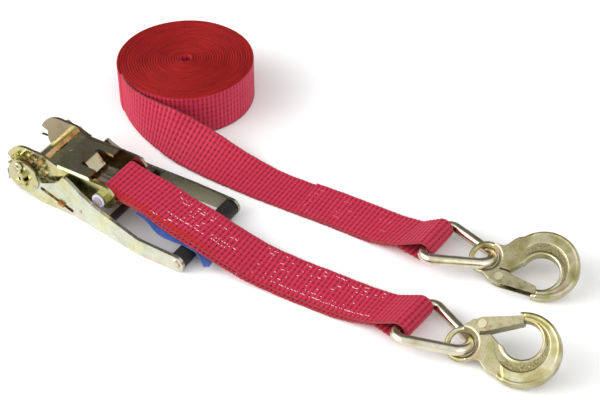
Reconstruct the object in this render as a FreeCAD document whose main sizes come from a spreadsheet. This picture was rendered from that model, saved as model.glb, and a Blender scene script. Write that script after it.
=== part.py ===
"""Ratchet tie down lying closed on its handle: ratchet buckle, short strap and long strap, each with a
delta ring and a forged snap hook, and the free length of the long strap rolled up beside the buckle.

Axes: X runs along the buckle from the mandrel to the grip, Y across it, Z up from the ground.
The buckle lies upside down, so its handle is underneath and the web of its frame is on top.
Most positions are worked from the mandrel's axis; the origin is the centre of the footprint.
"""
import FreeCAD, Part
import math
import os

V = FreeCAD.Vector
Rotation = FreeCAD.Rotation
Placement = FreeCAD.Placement
TO_XZ = Rotation(V(1, 0, 0), 90)
AXIS_X = V(1, 0, 0)
AXIS_Y = V(0, 1, 0)
AXIS_Z = V(0, 0, 1)

SIZES = {
    # whole object
    "origin_x": 267.0, "origin_y": 107.35, "mandrel_height": 27.5,
    # frame
    "sheet": 3.0, "frame_width": 58.0, "lobe_radius": 29.0, "web_rise": 22.5, "web_front": 28.0,
    "web_back": 74.0, "tab_start": 60.0, "tab_width": 19.4, "bolt_x": 93.5, "bolt_rise": 6.5,
    "bolt_end_radius": 14.0, "working_radius": 20.0, "bend_radius": 3.5, "bend_start": 37.5,
    "bend_past_web": 4.0, "lip_relief": 4.5, "lip_reach": 9.0, "lip_drop": 11.0,
    # mandrel, wheels and washers
    "mandrel_radius": 7.5, "mandrel_slit": 4.6, "mandrel_length": 87.0, "slit_angle": 12.0,
    "running_gap": 0.08, "wheel_radius": 23.5, "wheel_root": 18.5, "wheel_thick": 4.0, "teeth": 16.0,
    "wheel_gap": 0.4, "washer_radius": 18.8, "washer_thick": 1.5, "split_pin_radius": 1.7,
    # handle
    "arm_thick": 3.5, "arm_inner": 33.9, "arm_head": 22.0, "grip_x": 194.0, "grip_drop": 18.5,
    "grip_end_radius": 9.0, "flare_start": 60.0, "flare_end": 150.0, "grip_half_width": 51.0,
    "sleeve_radius": 8.9, "grip_rod_radius": 4.0, "pin_radius": 2.5, "slot_start": 21.6, "slot_end": 64.0,
    "anchor_x": 69.5, "anchor_drop": 16.7, "anchor_from": 15.0, "rivet_stand_out": 2.5,
    # pawls
    "pawl_thick": 4.0, "pawl_rest": 29.3, "pawl_dip": 20.0, "pawl_back": 55.0, "ear_start": 45.0,
    "ear_end": 53.0, "ear_stand_out": 2.4, "tongue_thick": 3.2, "tongue_width": 20.0,
    "lock_rest": 24.2, "lock_shoulder": 8.0, "lock_back": 12.5, "lock_slot": 2.3,
    "release_bar_radius": 4.0, "release_bar_x": 105.0, "release_bar_drop": 14.5, "release_bar_length": 76.0,
    # springs and their rivet
    "leaf_start": 24.7, "leaf_end": 42.0, "leaf_thick": 0.9, "leaf_width": 12.0, "leaf_rivet_x": 32.5,
    "leaf_rivet_radius": 1.6, "leaf_rivet_head": 3.4, "coil_radius": 3.0, "coil_wire": 1.0,
    "coil_offset": 20.0,
    # fasteners
    "bolt_radius": 5.0, "nut_radius": 8.5, "nut_height": 6.3, "nylon_height": 1.4,
    # webbing
    "web_width": 50.0, "web_thick": 2.5, "layer_gap": 0.2, "loop_slack": 2.9, "roll_radius": 76.0,
    "roll_x": 43.0, "roll_y": 190.9, "core_radius": 5.0, "ground_gap": 0.3,
    # label
    "label_start": 134.0, "label_end": 226.0, "label_width": 26.0, "label_bulge": 8.0,
    "label_shift": 14.0, "label_thick": 0.6,
    # rings and hooks
    "wire_radius": 5.3, "ring_base": 75.2, "ring_length": 61.8, "ring_corner": 9.5, "ring_apex": 14.0,
    "ring_tilt": 9.0, "eye_offset": 5.6, "rim_radius": 2.7, "eye_radius": 14.5,
    "hook_thick": 10.0, "band_thick": 12.0, "bowl_radius": 34.5, "bowl_x": 54.0, "bowl_y": 10.5,
    "mouth_radius": 17.8, "mouth_x": 54.5, "mouth_y": 2.5, "latch_x": 19.8, "latch_y": -15.7,
    "ear_radius": 6.2, "latch_inside": 10.4, "latch_outside": 13.0, "rivet_radius": 2.5,
}

doc = FreeCAD.newDocument("RatchetTieDown")
sheet = doc.addObject("Spreadsheet::Sheet", "Sizes")
for row, (alias, value) in enumerate(SIZES.items(), start=1):
    sheet.set("A%d" % row, alias)
    sheet.set("B%d" % row, str(value))
    sheet.setAlias("B%d" % row, alias)
doc.recompute()


def size(alias):
    """The number in the cell of that alias."""
    return float(getattr(sheet, alias))


def world(x, y, z, rotation=Rotation()):
    """A placement at a point measured from the ground under the mandrel's middle."""
    return Placement(V(x - size("origin_x"), y - size("origin_y"), z), rotation)


def at_mandrel(x=0.0, y=0.0, rise=0.0, rotation=Rotation()):
    """A placement measured from the mandrel's axis."""
    return world(x, y, size("mandrel_height") + rise, rotation)


# ---------------------------------------------------------------- outlines

def rounded(corners):
    """Closed outline of lines and tangent arcs through (x, y, radius) corners."""
    points = [V(x, y, 0) for x, y, _ in corners]
    starts = []
    ends = []
    arcs = []
    count = len(corners)
    for i in range(count):
        corner = points[i]
        back = (points[i - 1] - corner).normalize()
        ahead = (points[(i + 1) % count] - corner).normalize()
        radius = corners[i][2]
        if radius == 0:
            starts.append(corner)
            ends.append(corner)
            continue
        half = back.getAngle(ahead) / 2
        reach = radius / math.tan(half)
        inward = (back + ahead).normalize()
        middle = corner + inward * (radius / math.sin(half) - radius)
        starts.append(corner + back * reach)
        ends.append(corner + ahead * reach)
        arcs.append(Part.Arc(starts[-1], middle, ends[-1]))
    lines = []
    for i in range(count):
        begin = ends[i]
        finish = starts[(i + 1) % count]
        if begin.distanceToPoint(finish) > 1e-6:
            lines.append(Part.LineSegment(begin, finish))
    return arcs + lines


def circle(x, y, radius):
    return [Part.Circle(V(x, y, 0), AXIS_Z, radius)]


def polar(radius, degrees):
    angle = math.radians(degrees)
    return (radius * math.cos(angle), radius * math.sin(angle))


def turned(corners, degrees):
    """The same corners turned about the outline's origin."""
    angle = math.radians(degrees)
    cos = math.cos(angle)
    sin = math.sin(angle)
    return [(x * cos - y * sin, x * sin + y * cos, r) for x, y, r in corners]


def box_corners(x0, y0, x1, y1, radius=0.0):
    return [(x0, y0, radius), (x1, y0, radius), (x1, y1, radius), (x0, y1, radius)]


# ---------------------------------------------------------------- features

def plane_of(body, role):
    return next(f for f in body.Origin.OriginFeatures if f.Role == role)


def add_sketch(body, role, geometry, offset):
    sketch = body.newObject("Sketcher::SketchObject", body.Name + "_sketch")
    sketch.AttachmentSupport = [(plane_of(body, role), "")]
    sketch.MapMode = "FlatFace"
    sketch.AttachmentOffset = Placement(V(0, 0, offset), Rotation())
    sketch.addGeometry(geometry, False)
    return sketch


def add_feature(body, kind, role, geometry, width, offset=0.0):
    """A pad or pocket centred on an origin plane, or off it, of a width given by an expression."""
    sketch = add_sketch(body, role, geometry, offset)
    doc.recompute()
    feature = body.newObject("PartDesign::" + kind, body.Name + "_" + kind.lower())
    feature.Profile = sketch
    feature.Type = 0
    if hasattr(feature, "SideType"):
        feature.SideType = "Symmetric"
    else:
        feature.Midplane = True
    feature.setExpression("Length", width)
    doc.recompute()
    return feature


def new_body(name, placement=None):
    body = doc.addObject("PartDesign::Body", name)
    if placement is not None:
        body.Placement = placement
    return body


def plate(name, role, geometry, width, placement=None):
    body = new_body(name, placement)
    add_feature(body, "Pad", role, geometry, width)
    return body


def cylinder(name, radius, height, placement):
    """A cylinder bound to the sheet, centred on its placement, along that placement's own Z."""
    solid = doc.addObject("Part::Cylinder", name)
    solid.setExpression("Radius", radius)
    solid.setExpression("Height", height)
    doc.recompute()
    solid.Placement = placement * Placement(V(0, 0, -solid.Height.Value / 2), Rotation())
    return solid


def combine(kind, name, base, tool):
    result = doc.addObject("Part::" + kind, name)
    result.Base = base
    result.Tool = tool
    doc.recompute()
    return result


def fuse(name, shapes):
    result = doc.addObject("Part::MultiFuse", name)
    result.Shapes = shapes
    doc.recompute()
    return result


NODES = {}


def node(name, item):
    """Marks an object as a finished sub-part."""
    item.Label = name
    NODES[name] = item
    return item


LYING_Y = Rotation(AXIS_X, -90)  # turns an object's Z to row +Y


# ---------------------------------------------------------------- frame

def build_frame():
    lobe = size("lobe_radius")
    rise = size("web_rise")
    under = rise - size("sheet")
    front = size("web_front")
    back = size("web_back")
    end = size("bolt_end_radius")
    bolt_x = size("bolt_x")
    bolt_z = size("bolt_rise")
    body = new_body("ratchet_frame", at_mandrel())
    add_feature(body, "Pad", "XZ_Plane", circle(0, 0, lobe), "Sizes.frame_width")
    side = [(-4, 0, 0), (-4, lobe - 0.3, 0), (20, lobe - 0.6, 10), (36, rise, 8), (back, rise, 1.5),
            (back + 7, bolt_z + end, 6), (bolt_x + end, bolt_z + end, end - 0.5),
            (bolt_x + end, bolt_z - end, end - 0.5), (bolt_x - 20, bolt_z - end + 1, 30), (24, -6.8, 0)]
    add_feature(body, "Pad", "XZ_Plane", rounded(side), "Sizes.frame_width")
    inside = [(-40, -40, 0), (-40, 40, 0), (front, 40, 0), (front, under, 0), (back + 2, under, 0),
              (back + 2, 40, 0), (130, 40, 0), (130, -40, 0)]
    add_feature(body, "Pocket", "XZ_Plane", rounded(inside), "Sizes.frame_width - 2 * Sizes.sheet")
    # the web's two bends are round on the outside
    corner = size("frame_width") / 2
    bend = size("bend_radius")
    lean = bend * (1 - math.cos(math.radians(45)))
    bends = []
    for side in (-1, 1):
        top = V(side * (corner - bend), rise, 0)
        turn = V(side * (corner - lean), rise - lean, 0)
        foot = V(side * corner, rise - bend, 0)
        outside = [foot, V(side * (corner + 1), rise - bend, 0), V(side * (corner + 1), rise + 1, 0),
                   V(side * (corner - bend), rise + 1, 0), top]
        bends.append(Part.Arc(top, turn, foot))
        bends += [Part.LineSegment(a, b) for a, b in zip(outside, outside[1:])]
    bend_from = size("bend_start")
    bend_to = back + size("bend_past_web")
    add_feature(body, "Pocket", "YZ_Plane", bends, str(bend_to - bend_from), (bend_from + bend_to) / 2)
    # the web ends in a narrow lip between two reliefs, bent down towards the strap
    tab = size("tab_start")
    relief = size("tab_width") / 2 + size("lip_relief")
    open_end = box_corners(tab - 4, -relief, back + 6, relief, 2.5)
    add_feature(body, "Pocket", "XY_Plane", rounded(open_end), "60")
    lip_end = tab + size("lip_reach")
    lip_low = rise - size("lip_drop")
    lip = [(tab - 6, rise, 0), (tab - 1, rise, 4), (lip_end, lip_low, 0), (lip_end - 2.2, lip_low - 2, 0),
           (tab - 2, under, 2), (tab - 6, under, 0)]
    add_feature(body, "Pad", "XZ_Plane", rounded(lip), "Sizes.tab_width")
    add_feature(body, "Pocket", "XZ_Plane", circle(0, 0, size("mandrel_radius") + size("running_gap")),
                "Sizes.frame_width + 2")
    add_feature(body, "Pocket", "XZ_Plane", circle(bolt_x, bolt_z, size("bolt_radius") + 0.05),
                "Sizes.frame_width + 2")
    # notches that hold the drive pawl with the handle closed and fully open
    half = size("pawl_thick") / 2 + 0.5
    root = size("working_radius")
    closed_notch = turned(box_corners(root, -half, lobe + 8, half), -size("pawl_dip"))
    add_feature(body, "Pocket", "XZ_Plane", rounded(closed_notch), "Sizes.frame_width + 2")
    open_notch = turned([(root, -4, 2), (lobe + 3, -6.5, 0), (lobe + 3, 6.5, 0), (root, 4, 2)], 170)
    add_feature(body, "Pocket", "XZ_Plane", rounded(open_notch), "Sizes.frame_width + 2")
    # low stretch of the rim where the drive pawl reaches the wheels
    start = V(*polar(root, -52), 0)
    middle = V(*polar(root, -115), 0)
    finish = V(*polar(root, -178), 0)
    far_start = V(*polar(lobe + 14, -52), 0)
    far_finish = V(*polar(lobe + 14, -178), 0)
    low = V(0, -lobe - 24, 0)
    low_corner = V(-lobe - 24, -lobe - 24, 0)
    working = [Part.Arc(start, middle, finish), Part.LineSegment(finish, far_finish),
               Part.LineSegment(far_finish, low_corner), Part.LineSegment(low_corner, low),
               Part.LineSegment(low, far_start), Part.LineSegment(far_start, start)]
    add_feature(body, "Pocket", "XZ_Plane", working, "Sizes.frame_width + 2")
    lock_half = size("lock_slot")
    lock = turned(box_corners(root, -lock_half, lobe + 5.8, lock_half, 1.0), lock_angle())
    add_feature(body, "Pocket", "XZ_Plane", rounded(lock), "Sizes.frame_width + 2")
    node("ratchet_frame", body)


def lock_angle():
    """The lock pawl meets the wheel gap three teeth round from the drive pawl's."""
    return 3 * 360.0 / size("teeth") - size("pawl_dip")


# ---------------------------------------------------------------- mandrel and wheels

def build_mandrel():
    slit = size("mandrel_slit") / 2
    radius = size("mandrel_radius")
    reach = math.sqrt(radius ** 2 - slit ** 2)
    for name, sign in (("mandrel_half_upper", 1), ("mandrel_half_lower", -1)):
        crown = V(0, sign * radius, 0)
        left = V(-reach, sign * slit, 0)
        right = V(reach, sign * slit, 0)
        half = [Part.Arc(left, crown, right), Part.LineSegment(right, left)]
        turn = Rotation(AXIS_Y, -size("slit_angle"))
        body = plate(name, "XZ_Plane", half, "Sizes.mandrel_length", at_mandrel(rotation=turn))
        node(name, body)


def build_wheels():
    middle = size("frame_width") / 2 + size("wheel_gap") + size("wheel_thick") / 2
    root = size("wheel_root")
    gap = turned([(root, 2.45, 0.4), (root + 8, 2.45, 0), (root + 8, -7.2, 0), (root, -2.45, 0.4)],
                 -size("pawl_dip"))
    for name, side in (("ratchet_wheel_near", -1), ("ratchet_wheel_far", 1)):
        body = new_body(name, at_mandrel(y=side * middle))
        add_feature(body, "Pad", "XZ_Plane", circle(0, 0, size("wheel_radius")), "Sizes.wheel_thick")
        add_feature(body, "Pocket", "XZ_Plane", circle(0, 0, size("mandrel_radius") + 0.02),
                    "Sizes.wheel_thick + 2")
        tooth = add_feature(body, "Pocket", "XZ_Plane", rounded(gap), "Sizes.wheel_thick + 2")
        pattern = body.newObject("PartDesign::PolarPattern", name + "_teeth")
        pattern.Originals = [tooth]
        pattern.Axis = (plane_of(body, "Y_Axis"), [""])
        pattern.Angle = 360
        pattern.setExpression("Occurrences", "Sizes.teeth")
        body.Tip = pattern
        doc.recompute()
        node(name, body)


def build_washers_and_pins():
    outer = size("arm_inner") + size("arm_thick")
    for side, word in ((-1, "near"), (1, "far")):
        y = side * (outer + 0.3 + size("washer_thick") / 2)
        spot = at_mandrel(y=y, rotation=LYING_Y)
        disc = cylinder("washer_disc_" + word, "Sizes.washer_radius", "Sizes.washer_thick", spot)
        hole = cylinder("washer_hole_" + word, "Sizes.mandrel_radius + 0.1", "Sizes.washer_thick + 2", spot)
        node("mandrel_washer_" + word, combine("Cut", "mandrel_washer_" + word, disc, hole))
        pin_y = side * (outer + 0.3 + size("washer_thick") + size("split_pin_radius") + 0.2)
        turn = Rotation(AXIS_Y, -size("slit_angle"))
        shank = cylinder("pin_shank_" + word, "Sizes.split_pin_radius", "2 * Sizes.mandrel_radius + 8",
                         at_mandrel(y=pin_y, rotation=turn))
        loop = doc.addObject("Part::Torus", "pin_loop_" + word)
        loop.Radius1 = 3.0
        loop.setExpression("Radius2", "Sizes.split_pin_radius")
        head = Placement(V(0, 0, size("mandrel_radius") + 6), LYING_Y)
        loop.Placement = at_mandrel(y=pin_y, rotation=turn) * head
        node("split_pin_" + word, fuse("split_pin_" + word, [shank, loop]))


# ---------------------------------------------------------------- handle

def arm_outline():
    head = size("arm_head")
    end = size("grip_end_radius")
    grip_x = size("grip_x")
    low = -size("grip_drop") - end
    tip = grip_x + end
    top = -size("grip_drop") + end
    return [(-head, head, head - 0.3), (-head, -head, head - 0.3), (6, -head, 10), (20, low, 14),
            (tip, low, end - 0.3), (tip, top, end - 0.3), (150, -7.5, 60), (96, 0.5, 60),
            (72, 8.5, 30), (51.5, 19.5, 3), (43, 8.3, 5), (head, -1, 1)]


def build_arms():
    inner = size("arm_inner")
    thick = size("arm_thick")
    flare = size("flare_start")
    wide = size("flare_end")
    outer_end = size("grip_half_width")
    tip = size("grip_x") + size("grip_end_radius") + 2
    half = size("pawl_thick") / 2 + 0.4
    slot = box_corners(size("slot_start"), -half, size("slot_end"), half, 1.5)
    slot = turned(slot, -size("pawl_dip"))
    for word, side in (("near", -1), ("far", 1)):
        profile = new_body("arm_profile_" + word, at_mandrel())
        add_feature(profile, "Pad", "XZ_Plane", rounded(arm_outline()), "2 * Sizes.grip_half_width + 10")
        holes = [circle(0, 0, size("mandrel_radius") + size("running_gap")),
                 circle(size("grip_x"), -size("grip_drop"), size("grip_rod_radius")),
                 circle(size("anchor_x"), -size("anchor_drop"), size("pin_radius")),
                 rounded(slot)]
        for geometry in holes:
            add_feature(profile, "Pocket", "XZ_Plane", geometry, "2 * Sizes.grip_half_width + 12")
        plan = [(-40, side * inner, 0), (flare, side * inner, 30),
                (wide, side * (outer_end - thick), 30), (tip, side * (outer_end - thick), 0),
                (tip, side * outer_end, 0), (wide, side * outer_end, 30),
                (flare, side * (inner + thick), 30), (-40, side * (inner + thick), 0)]
        strip = plate("arm_plan_" + word, "XY_Plane", rounded(plan), "140", at_mandrel())
        node("handle_arm_" + word, combine("Common", "handle_arm_" + word, profile, strip))


def build_grip():
    spot = at_mandrel(size("grip_x"), 0, -size("grip_drop"), LYING_Y)
    inside = "2 * (Sizes.grip_half_width - Sizes.arm_thick) - 0.4"
    tube = cylinder("sleeve_tube", "Sizes.sleeve_radius", inside, spot)
    bore = cylinder("sleeve_bore", "Sizes.grip_rod_radius", inside + " + 4", spot)
    node("grip_sleeve", combine("Cut", "grip_sleeve", tube, bore))
    rod = cylinder("rod_shank", "Sizes.grip_rod_radius", "2 * Sizes.grip_half_width", spot)
    heads = []
    for side in (-1, 1):
        y = side * (size("grip_half_width") + 0.6)
        head = at_mandrel(size("grip_x"), y, -size("grip_drop"), LYING_Y)
        heads.append(cylinder("rod_head", "Sizes.grip_rod_radius + 1", "1.2", head))
    node("grip_rod", fuse("grip_rod", [rod] + heads))
    # stub pins that hold the drive pawl's springs
    outer = size("arm_inner") + size("arm_thick") + size("rivet_stand_out")
    inner = size("anchor_from")
    for side, word in ((-1, "near"), (1, "far")):
        spot = at_mandrel(size("anchor_x"), side * (outer + inner) / 2, -size("anchor_drop"), LYING_Y)
        pin = cylinder("spring_anchor_" + word, "Sizes.pin_radius", str(outer - inner), spot)
        node("spring_anchor_" + word, pin)


# ---------------------------------------------------------------- pawls

def build_drive_pawl():
    """Plate with ears in the arms' slots, and a tongue back to the release bar."""
    dip = size("pawl_dip")
    rest = size("pawl_rest")
    turn = Rotation(AXIS_Y, dip)
    body = new_body("drive_pawl", at_mandrel(rotation=turn))
    ear = size("arm_inner") + size("arm_thick") + size("ear_stand_out")
    inner = size("arm_inner") - 0.5
    first = size("ear_start")
    last = size("ear_end")
    back = size("pawl_back")
    plan = [(rest, -inner, 1), (first, -inner, 0.5), (first, -ear, 1), (last, -ear, 1),
            (last, -inner, 0.5), (back, -inner, 1), (back, inner, 1), (last, inner, 0.5),
            (last, ear, 1), (first, ear, 1), (first, inner, 0.5), (rest, inner, 1)]
    add_feature(body, "Pad", "XY_Plane", rounded(plan), "Sizes.pawl_thick")
    bar_x = size("release_bar_x")
    bar_z = -size("release_bar_drop")
    cos = math.cos(math.radians(dip))
    sin = math.sin(math.radians(dip))
    along = bar_x * cos - bar_z * sin
    across = bar_x * sin + bar_z * cos
    half = size("tongue_thick") / 2
    tongue = [(first, -half, 0), (last, -half, 8), (along, across - half, 0), (along, across + half, 0),
              (last - 1, half, 8), (first, half, 0)]
    add_feature(body, "Pad", "XZ_Plane", rounded(tongue), "Sizes.tongue_width")
    hole = circle(along, across, size("release_bar_radius"))
    add_feature(body, "Pocket", "XZ_Plane", hole, "Sizes.tongue_width + 4")
    node("drive_pawl", body)
    bar = cylinder("release_bar", "Sizes.release_bar_radius", "Sizes.release_bar_length",
                   at_mandrel(bar_x, 0, bar_z, LYING_Y))
    node("release_bar", bar)


def build_lock_pawl():
    """Plate in the frame's slots that reaches over both wheels, narrower behind its shoulders."""
    rest = size("lock_rest")
    shoulder = rest + size("lock_shoulder")
    back = rest + size("lock_back")
    reach = size("frame_width") / 2 + size("wheel_gap") + size("wheel_thick")
    inner = size("frame_width") / 2 - size("sheet") - 0.4
    turn = Rotation(AXIS_Y, -lock_angle())
    plan = [(rest, -reach, 0.8), (shoulder, -reach, 0.8), (shoulder, -inner, 0.5),
            (back - 2.5, -inner, 1), (back - 2.5, 8, 1), (back, 10, 1), (back, inner, 1),
            (shoulder, inner, 0.5), (shoulder, reach, 0.8), (rest, reach, 0.8)]
    body = plate("lock_pawl", "XY_Plane", rounded(plan), "Sizes.pawl_thick", at_mandrel(rotation=turn))
    node("lock_pawl", body)


def build_lock_spring():
    """Leaf spring riveted under the web, its free end behind the lock pawl."""
    top = size("web_rise") - size("sheet") - 0.05
    bottom = top - size("leaf_thick")
    leaf = box_corners(size("leaf_start"), bottom, size("leaf_end"), top)
    node("lock_spring", plate("lock_spring", "XZ_Plane", rounded(leaf), "Sizes.leaf_width", at_mandrel()))
    x = size("leaf_rivet_x")
    shank = cylinder("spring_rivet_shank", "Sizes.leaf_rivet_radius", "Sizes.sheet + 2",
                     at_mandrel(x, 0, top + 0.2))
    head = cylinder("spring_rivet_head", "Sizes.leaf_rivet_head", "1",
                    at_mandrel(x, 0, size("web_rise") + 0.5))
    node("spring_rivet", fuse("spring_rivet", [shank, head]))


def build_pawl_springs():
    """Two coil springs, as tubes, between the pawl's rear edge and the anchor pins."""
    level = -size("anchor_drop")
    dip = size("pawl_dip")
    # the springs start just behind the upper corner of the pawl's rear edge
    corner_rise = size("pawl_thick") / 2 * math.sin(math.radians(dip))
    start = polar(size("pawl_back"), -dip)[0] + corner_rise + 0.1
    finish = size("anchor_x") - size("pin_radius") - 0.1
    length = str(finish - start)
    for word, side in (("near", -1), ("far", 1)):
        name = "drive_spring_" + word
        spot = at_mandrel((start + finish) / 2, side * size("coil_offset"), level, Rotation(AXIS_Y, 90))
        tube = cylinder(name + "_tube", "Sizes.coil_radius", length, spot)
        bore = cylinder(name + "_bore", "Sizes.coil_radius - Sizes.coil_wire", length + " + 2", spot)
        node(name, combine("Cut", name, tube, bore))


# ---------------------------------------------------------------- fasteners of the short strap

def hexagon(radius):
    return [(*polar(radius, 60 * i), 0.0) for i in range(6)]


def build_bolt():
    x = size("bolt_x")
    rise = size("bolt_rise")
    half = size("frame_width") / 2
    shank = cylinder("bolt_shank", "Sizes.bolt_radius", "Sizes.frame_width + 9.2",
                     at_mandrel(x, -4.4, rise, LYING_Y))
    head = plate("bolt_head", "XZ_Plane", rounded(hexagon(size("nut_radius"))), "5.4",
                 at_mandrel(x, half + 0.1 + 2.7, rise))
    node("strap_bolt", fuse("strap_bolt", [shank, head]))
    nut = plate("nut_hexagon", "XZ_Plane", rounded(hexagon(size("nut_radius"))), "Sizes.nut_height",
                at_mandrel(x, -half - 0.1 - size("nut_height") / 2, rise, Rotation(AXIS_Y, 12)))
    bore = cylinder("nut_bore", "Sizes.bolt_radius", "Sizes.nut_height + 6",
                    at_mandrel(x, -half - 4, rise, LYING_Y))
    node("lock_nut", combine("Cut", "lock_nut", nut, bore))
    y = -half - 0.1 - size("nut_height") - size("nylon_height") / 2
    ring = cylinder("nylon_disc", "Sizes.nut_radius - 1.6", "Sizes.nylon_height",
                    at_mandrel(x, y, rise, LYING_Y))
    hole = cylinder("nylon_hole", "Sizes.bolt_radius", "Sizes.nylon_height + 2",
                    at_mandrel(x, y, rise, LYING_Y))
    node("nylon_ring", combine("Cut", "nylon_ring", ring, hole))


# ---------------------------------------------------------------- rings and hooks

# where each ring's base bar lies: x, y and height of its middle, and its turn about Z
RINGS = {"long": (393.5, 101.8, 15.8, 3.4), "short": (423.5, -2.0, 13.6, -5.2)}
# each hook's turn in its own plane, its tilt about the ring's axis, and whether it lies on its other face
HOOK_TURN = {"long": (3.0, 26.0, False), "short": (26.5, 30.5, True)}


def ring_placement(word):
    x, y, z, yaw = RINGS[word]
    return world(x, y, z, Rotation(AXIS_Z, yaw) * Rotation(AXIS_X, -size("ring_tilt")))


def hook_placement(word):
    x, y, z, yaw = RINGS[word]
    reach = size("ring_length") - size("eye_offset")
    eye_x = x + reach * math.cos(math.radians(yaw))
    eye_y = y + reach * math.sin(math.radians(yaw))
    turn, tilt, flipped = HOOK_TURN[word]
    rotation = Rotation(AXIS_Z, yaw) * Rotation(AXIS_X, tilt)
    rotation = rotation * Rotation(AXIS_Z, turn - yaw)
    if flipped:
        rotation = rotation * Rotation(AXIS_X, 180)
    return world(eye_x, eye_y, z, rotation)


def ring_path():
    """Centreline of the bent wire: a base bar and two legs that meet at a rounded apex."""
    half = size("ring_base") / 2
    apex = size("ring_apex")
    vertex = size("ring_length")
    for _ in range(40):
        lean = math.atan2(half, vertex)
        vertex = size("ring_length") + apex / math.sin(lean) - apex
    corner = size("ring_corner")
    return rounded([(0, -half, corner), (vertex, 0, apex), (0, half, corner)])


def build_rings():
    wire = size("wire_radius")
    for word in RINGS:
        path = Part.Wire(Part.sortEdges([g.toShape() for g in ring_path()])[0])
        first = path.OrderedEdges[0]
        start = path.OrderedVertexes[0].Point
        along = first.tangentAt(first.FirstParameter)
        section = Part.Wire([Part.Circle(start, along, wire).toShape()])
        solid = path.makePipeShell([section], True, False)
        ring = doc.addObject("Part::Feature", "delta_ring_" + word)
        ring.Shape = solid
        ring.Placement = ring_placement(word)
        expected = math.pi * wire ** 2 * path.Length
        print("ring volume / section x length: %.4f" % (solid.Volume / expected))
        node("delta_ring_" + word, ring)


def build_hook(word):
    thick = "Sizes.hook_thick"
    bowl = (size("bowl_x"), size("bowl_y"))
    mouth = (size("mouth_x"), size("mouth_y"))
    pivot = (size("latch_x"), size("latch_y"))
    prefix = "hook_%s_" % word

    def disc(name, radius, height, centre):
        return cylinder(prefix + name, radius, height, Placement(V(*centre, 0), Rotation()))

    outer = disc("bowl", "Sizes.bowl_radius", thick, bowl)
    shank = [(2, -16, 2), (2, 15.6, 2), (13, 15.6, 8), (24, 34, 14), (40, 30, 0), (40, 6, 0),
             (25, -9.5, 3), (pivot[0] + 1, pivot[1] - 4, 3), (12, -22, 5)]
    shank = plate(prefix + "shank", "XY_Plane", rounded(shank), thick)
    solid = fuse(prefix + "solid", [outer, shank])
    opening = disc("opening", "Sizes.mouth_radius", "30", mouth)
    gap = [(24, -9.5, 3), (38.4, 10.2, 12), (56, 3, 0), (56, -15.2, 1.5), (50.5, -34, 0), (22, -34, 0)]
    gap = plate(prefix + "gap", "XY_Plane", rounded(gap), "30")
    eye = [disc("eye_hole", "Sizes.eye_radius - Sizes.rim_radius", "30", (0, 0))]
    for face in (-1, 1):
        flare = doc.addObject("Part::Cone", prefix + "eye_flare")
        flare.setExpression("Radius1", "Sizes.eye_radius - Sizes.rim_radius")
        flare.setExpression("Radius2", "Sizes.eye_radius + 2")
        flare.Height = 5
        flare.Placement = Placement(V(0, 0, face), Rotation(AXIS_X, 0 if face > 0 else 180))
        eye.append(flare)
    wedge = [(pivot[0], pivot[1], 0), (pivot[0] - 3.6, pivot[1] + 9.2, 0),
             (pivot[0] + 9.6, pivot[1] + 9.6, 5), (pivot[0] + 9.6, pivot[1] - 12, 0),
             (pivot[0] + 2, pivot[1] - 12, 0)]
    wedge = plate(prefix + "wedge", "XY_Plane", rounded(wedge), "30")
    cut = combine("Cut", prefix + "cut", solid, fuse(prefix + "holes", [opening, gap, wedge] + eye))
    ear = disc("ear", "Sizes.ear_radius", thick, pivot)
    rim = doc.addObject("Part::Torus", prefix + "rim")
    rim.setExpression("Radius1", "Sizes.eye_radius")
    rim.setExpression("Radius2", "Sizes.rim_radius")
    band_outer = disc("band_outer", "Sizes.bowl_radius - 1.2", "Sizes.band_thick", bowl)
    band_inner = disc("band_inner", "Sizes.bowl_radius - 9.5", "20", (bowl[0] - 0.5, bowl[1] - 3.5))
    trim = [(10, 60, 0), (36, 60, 0), (34, 10, 0), (54, 0, 0), (62, -40, 0), (10, -40, 0)]
    trim = plate(prefix + "trim", "XY_Plane", rounded(trim), "30")
    band = combine("Cut", prefix + "band", band_outer, fuse(prefix + "trims", [band_inner, trim]))
    whole = fuse(prefix + "whole", [cut, ear, rim, band])
    hole = disc("pivot_hole", "Sizes.rivet_radius + 0.05", "30", pivot)
    slot = box_corners(pivot[0] - 4.7, pivot[1] - 4.7, pivot[0] + 9, pivot[1] + 4.7)
    slot = plate(prefix + "spring_slot", "XY_Plane", rounded(slot), "3.4")
    hook = combine("Cut", "hook_" + word, whole, fuse(prefix + "pivot_holes", [hole, slot]))
    hook.Placement = hook_placement(word)
    node("hook_" + word, hook)


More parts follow.
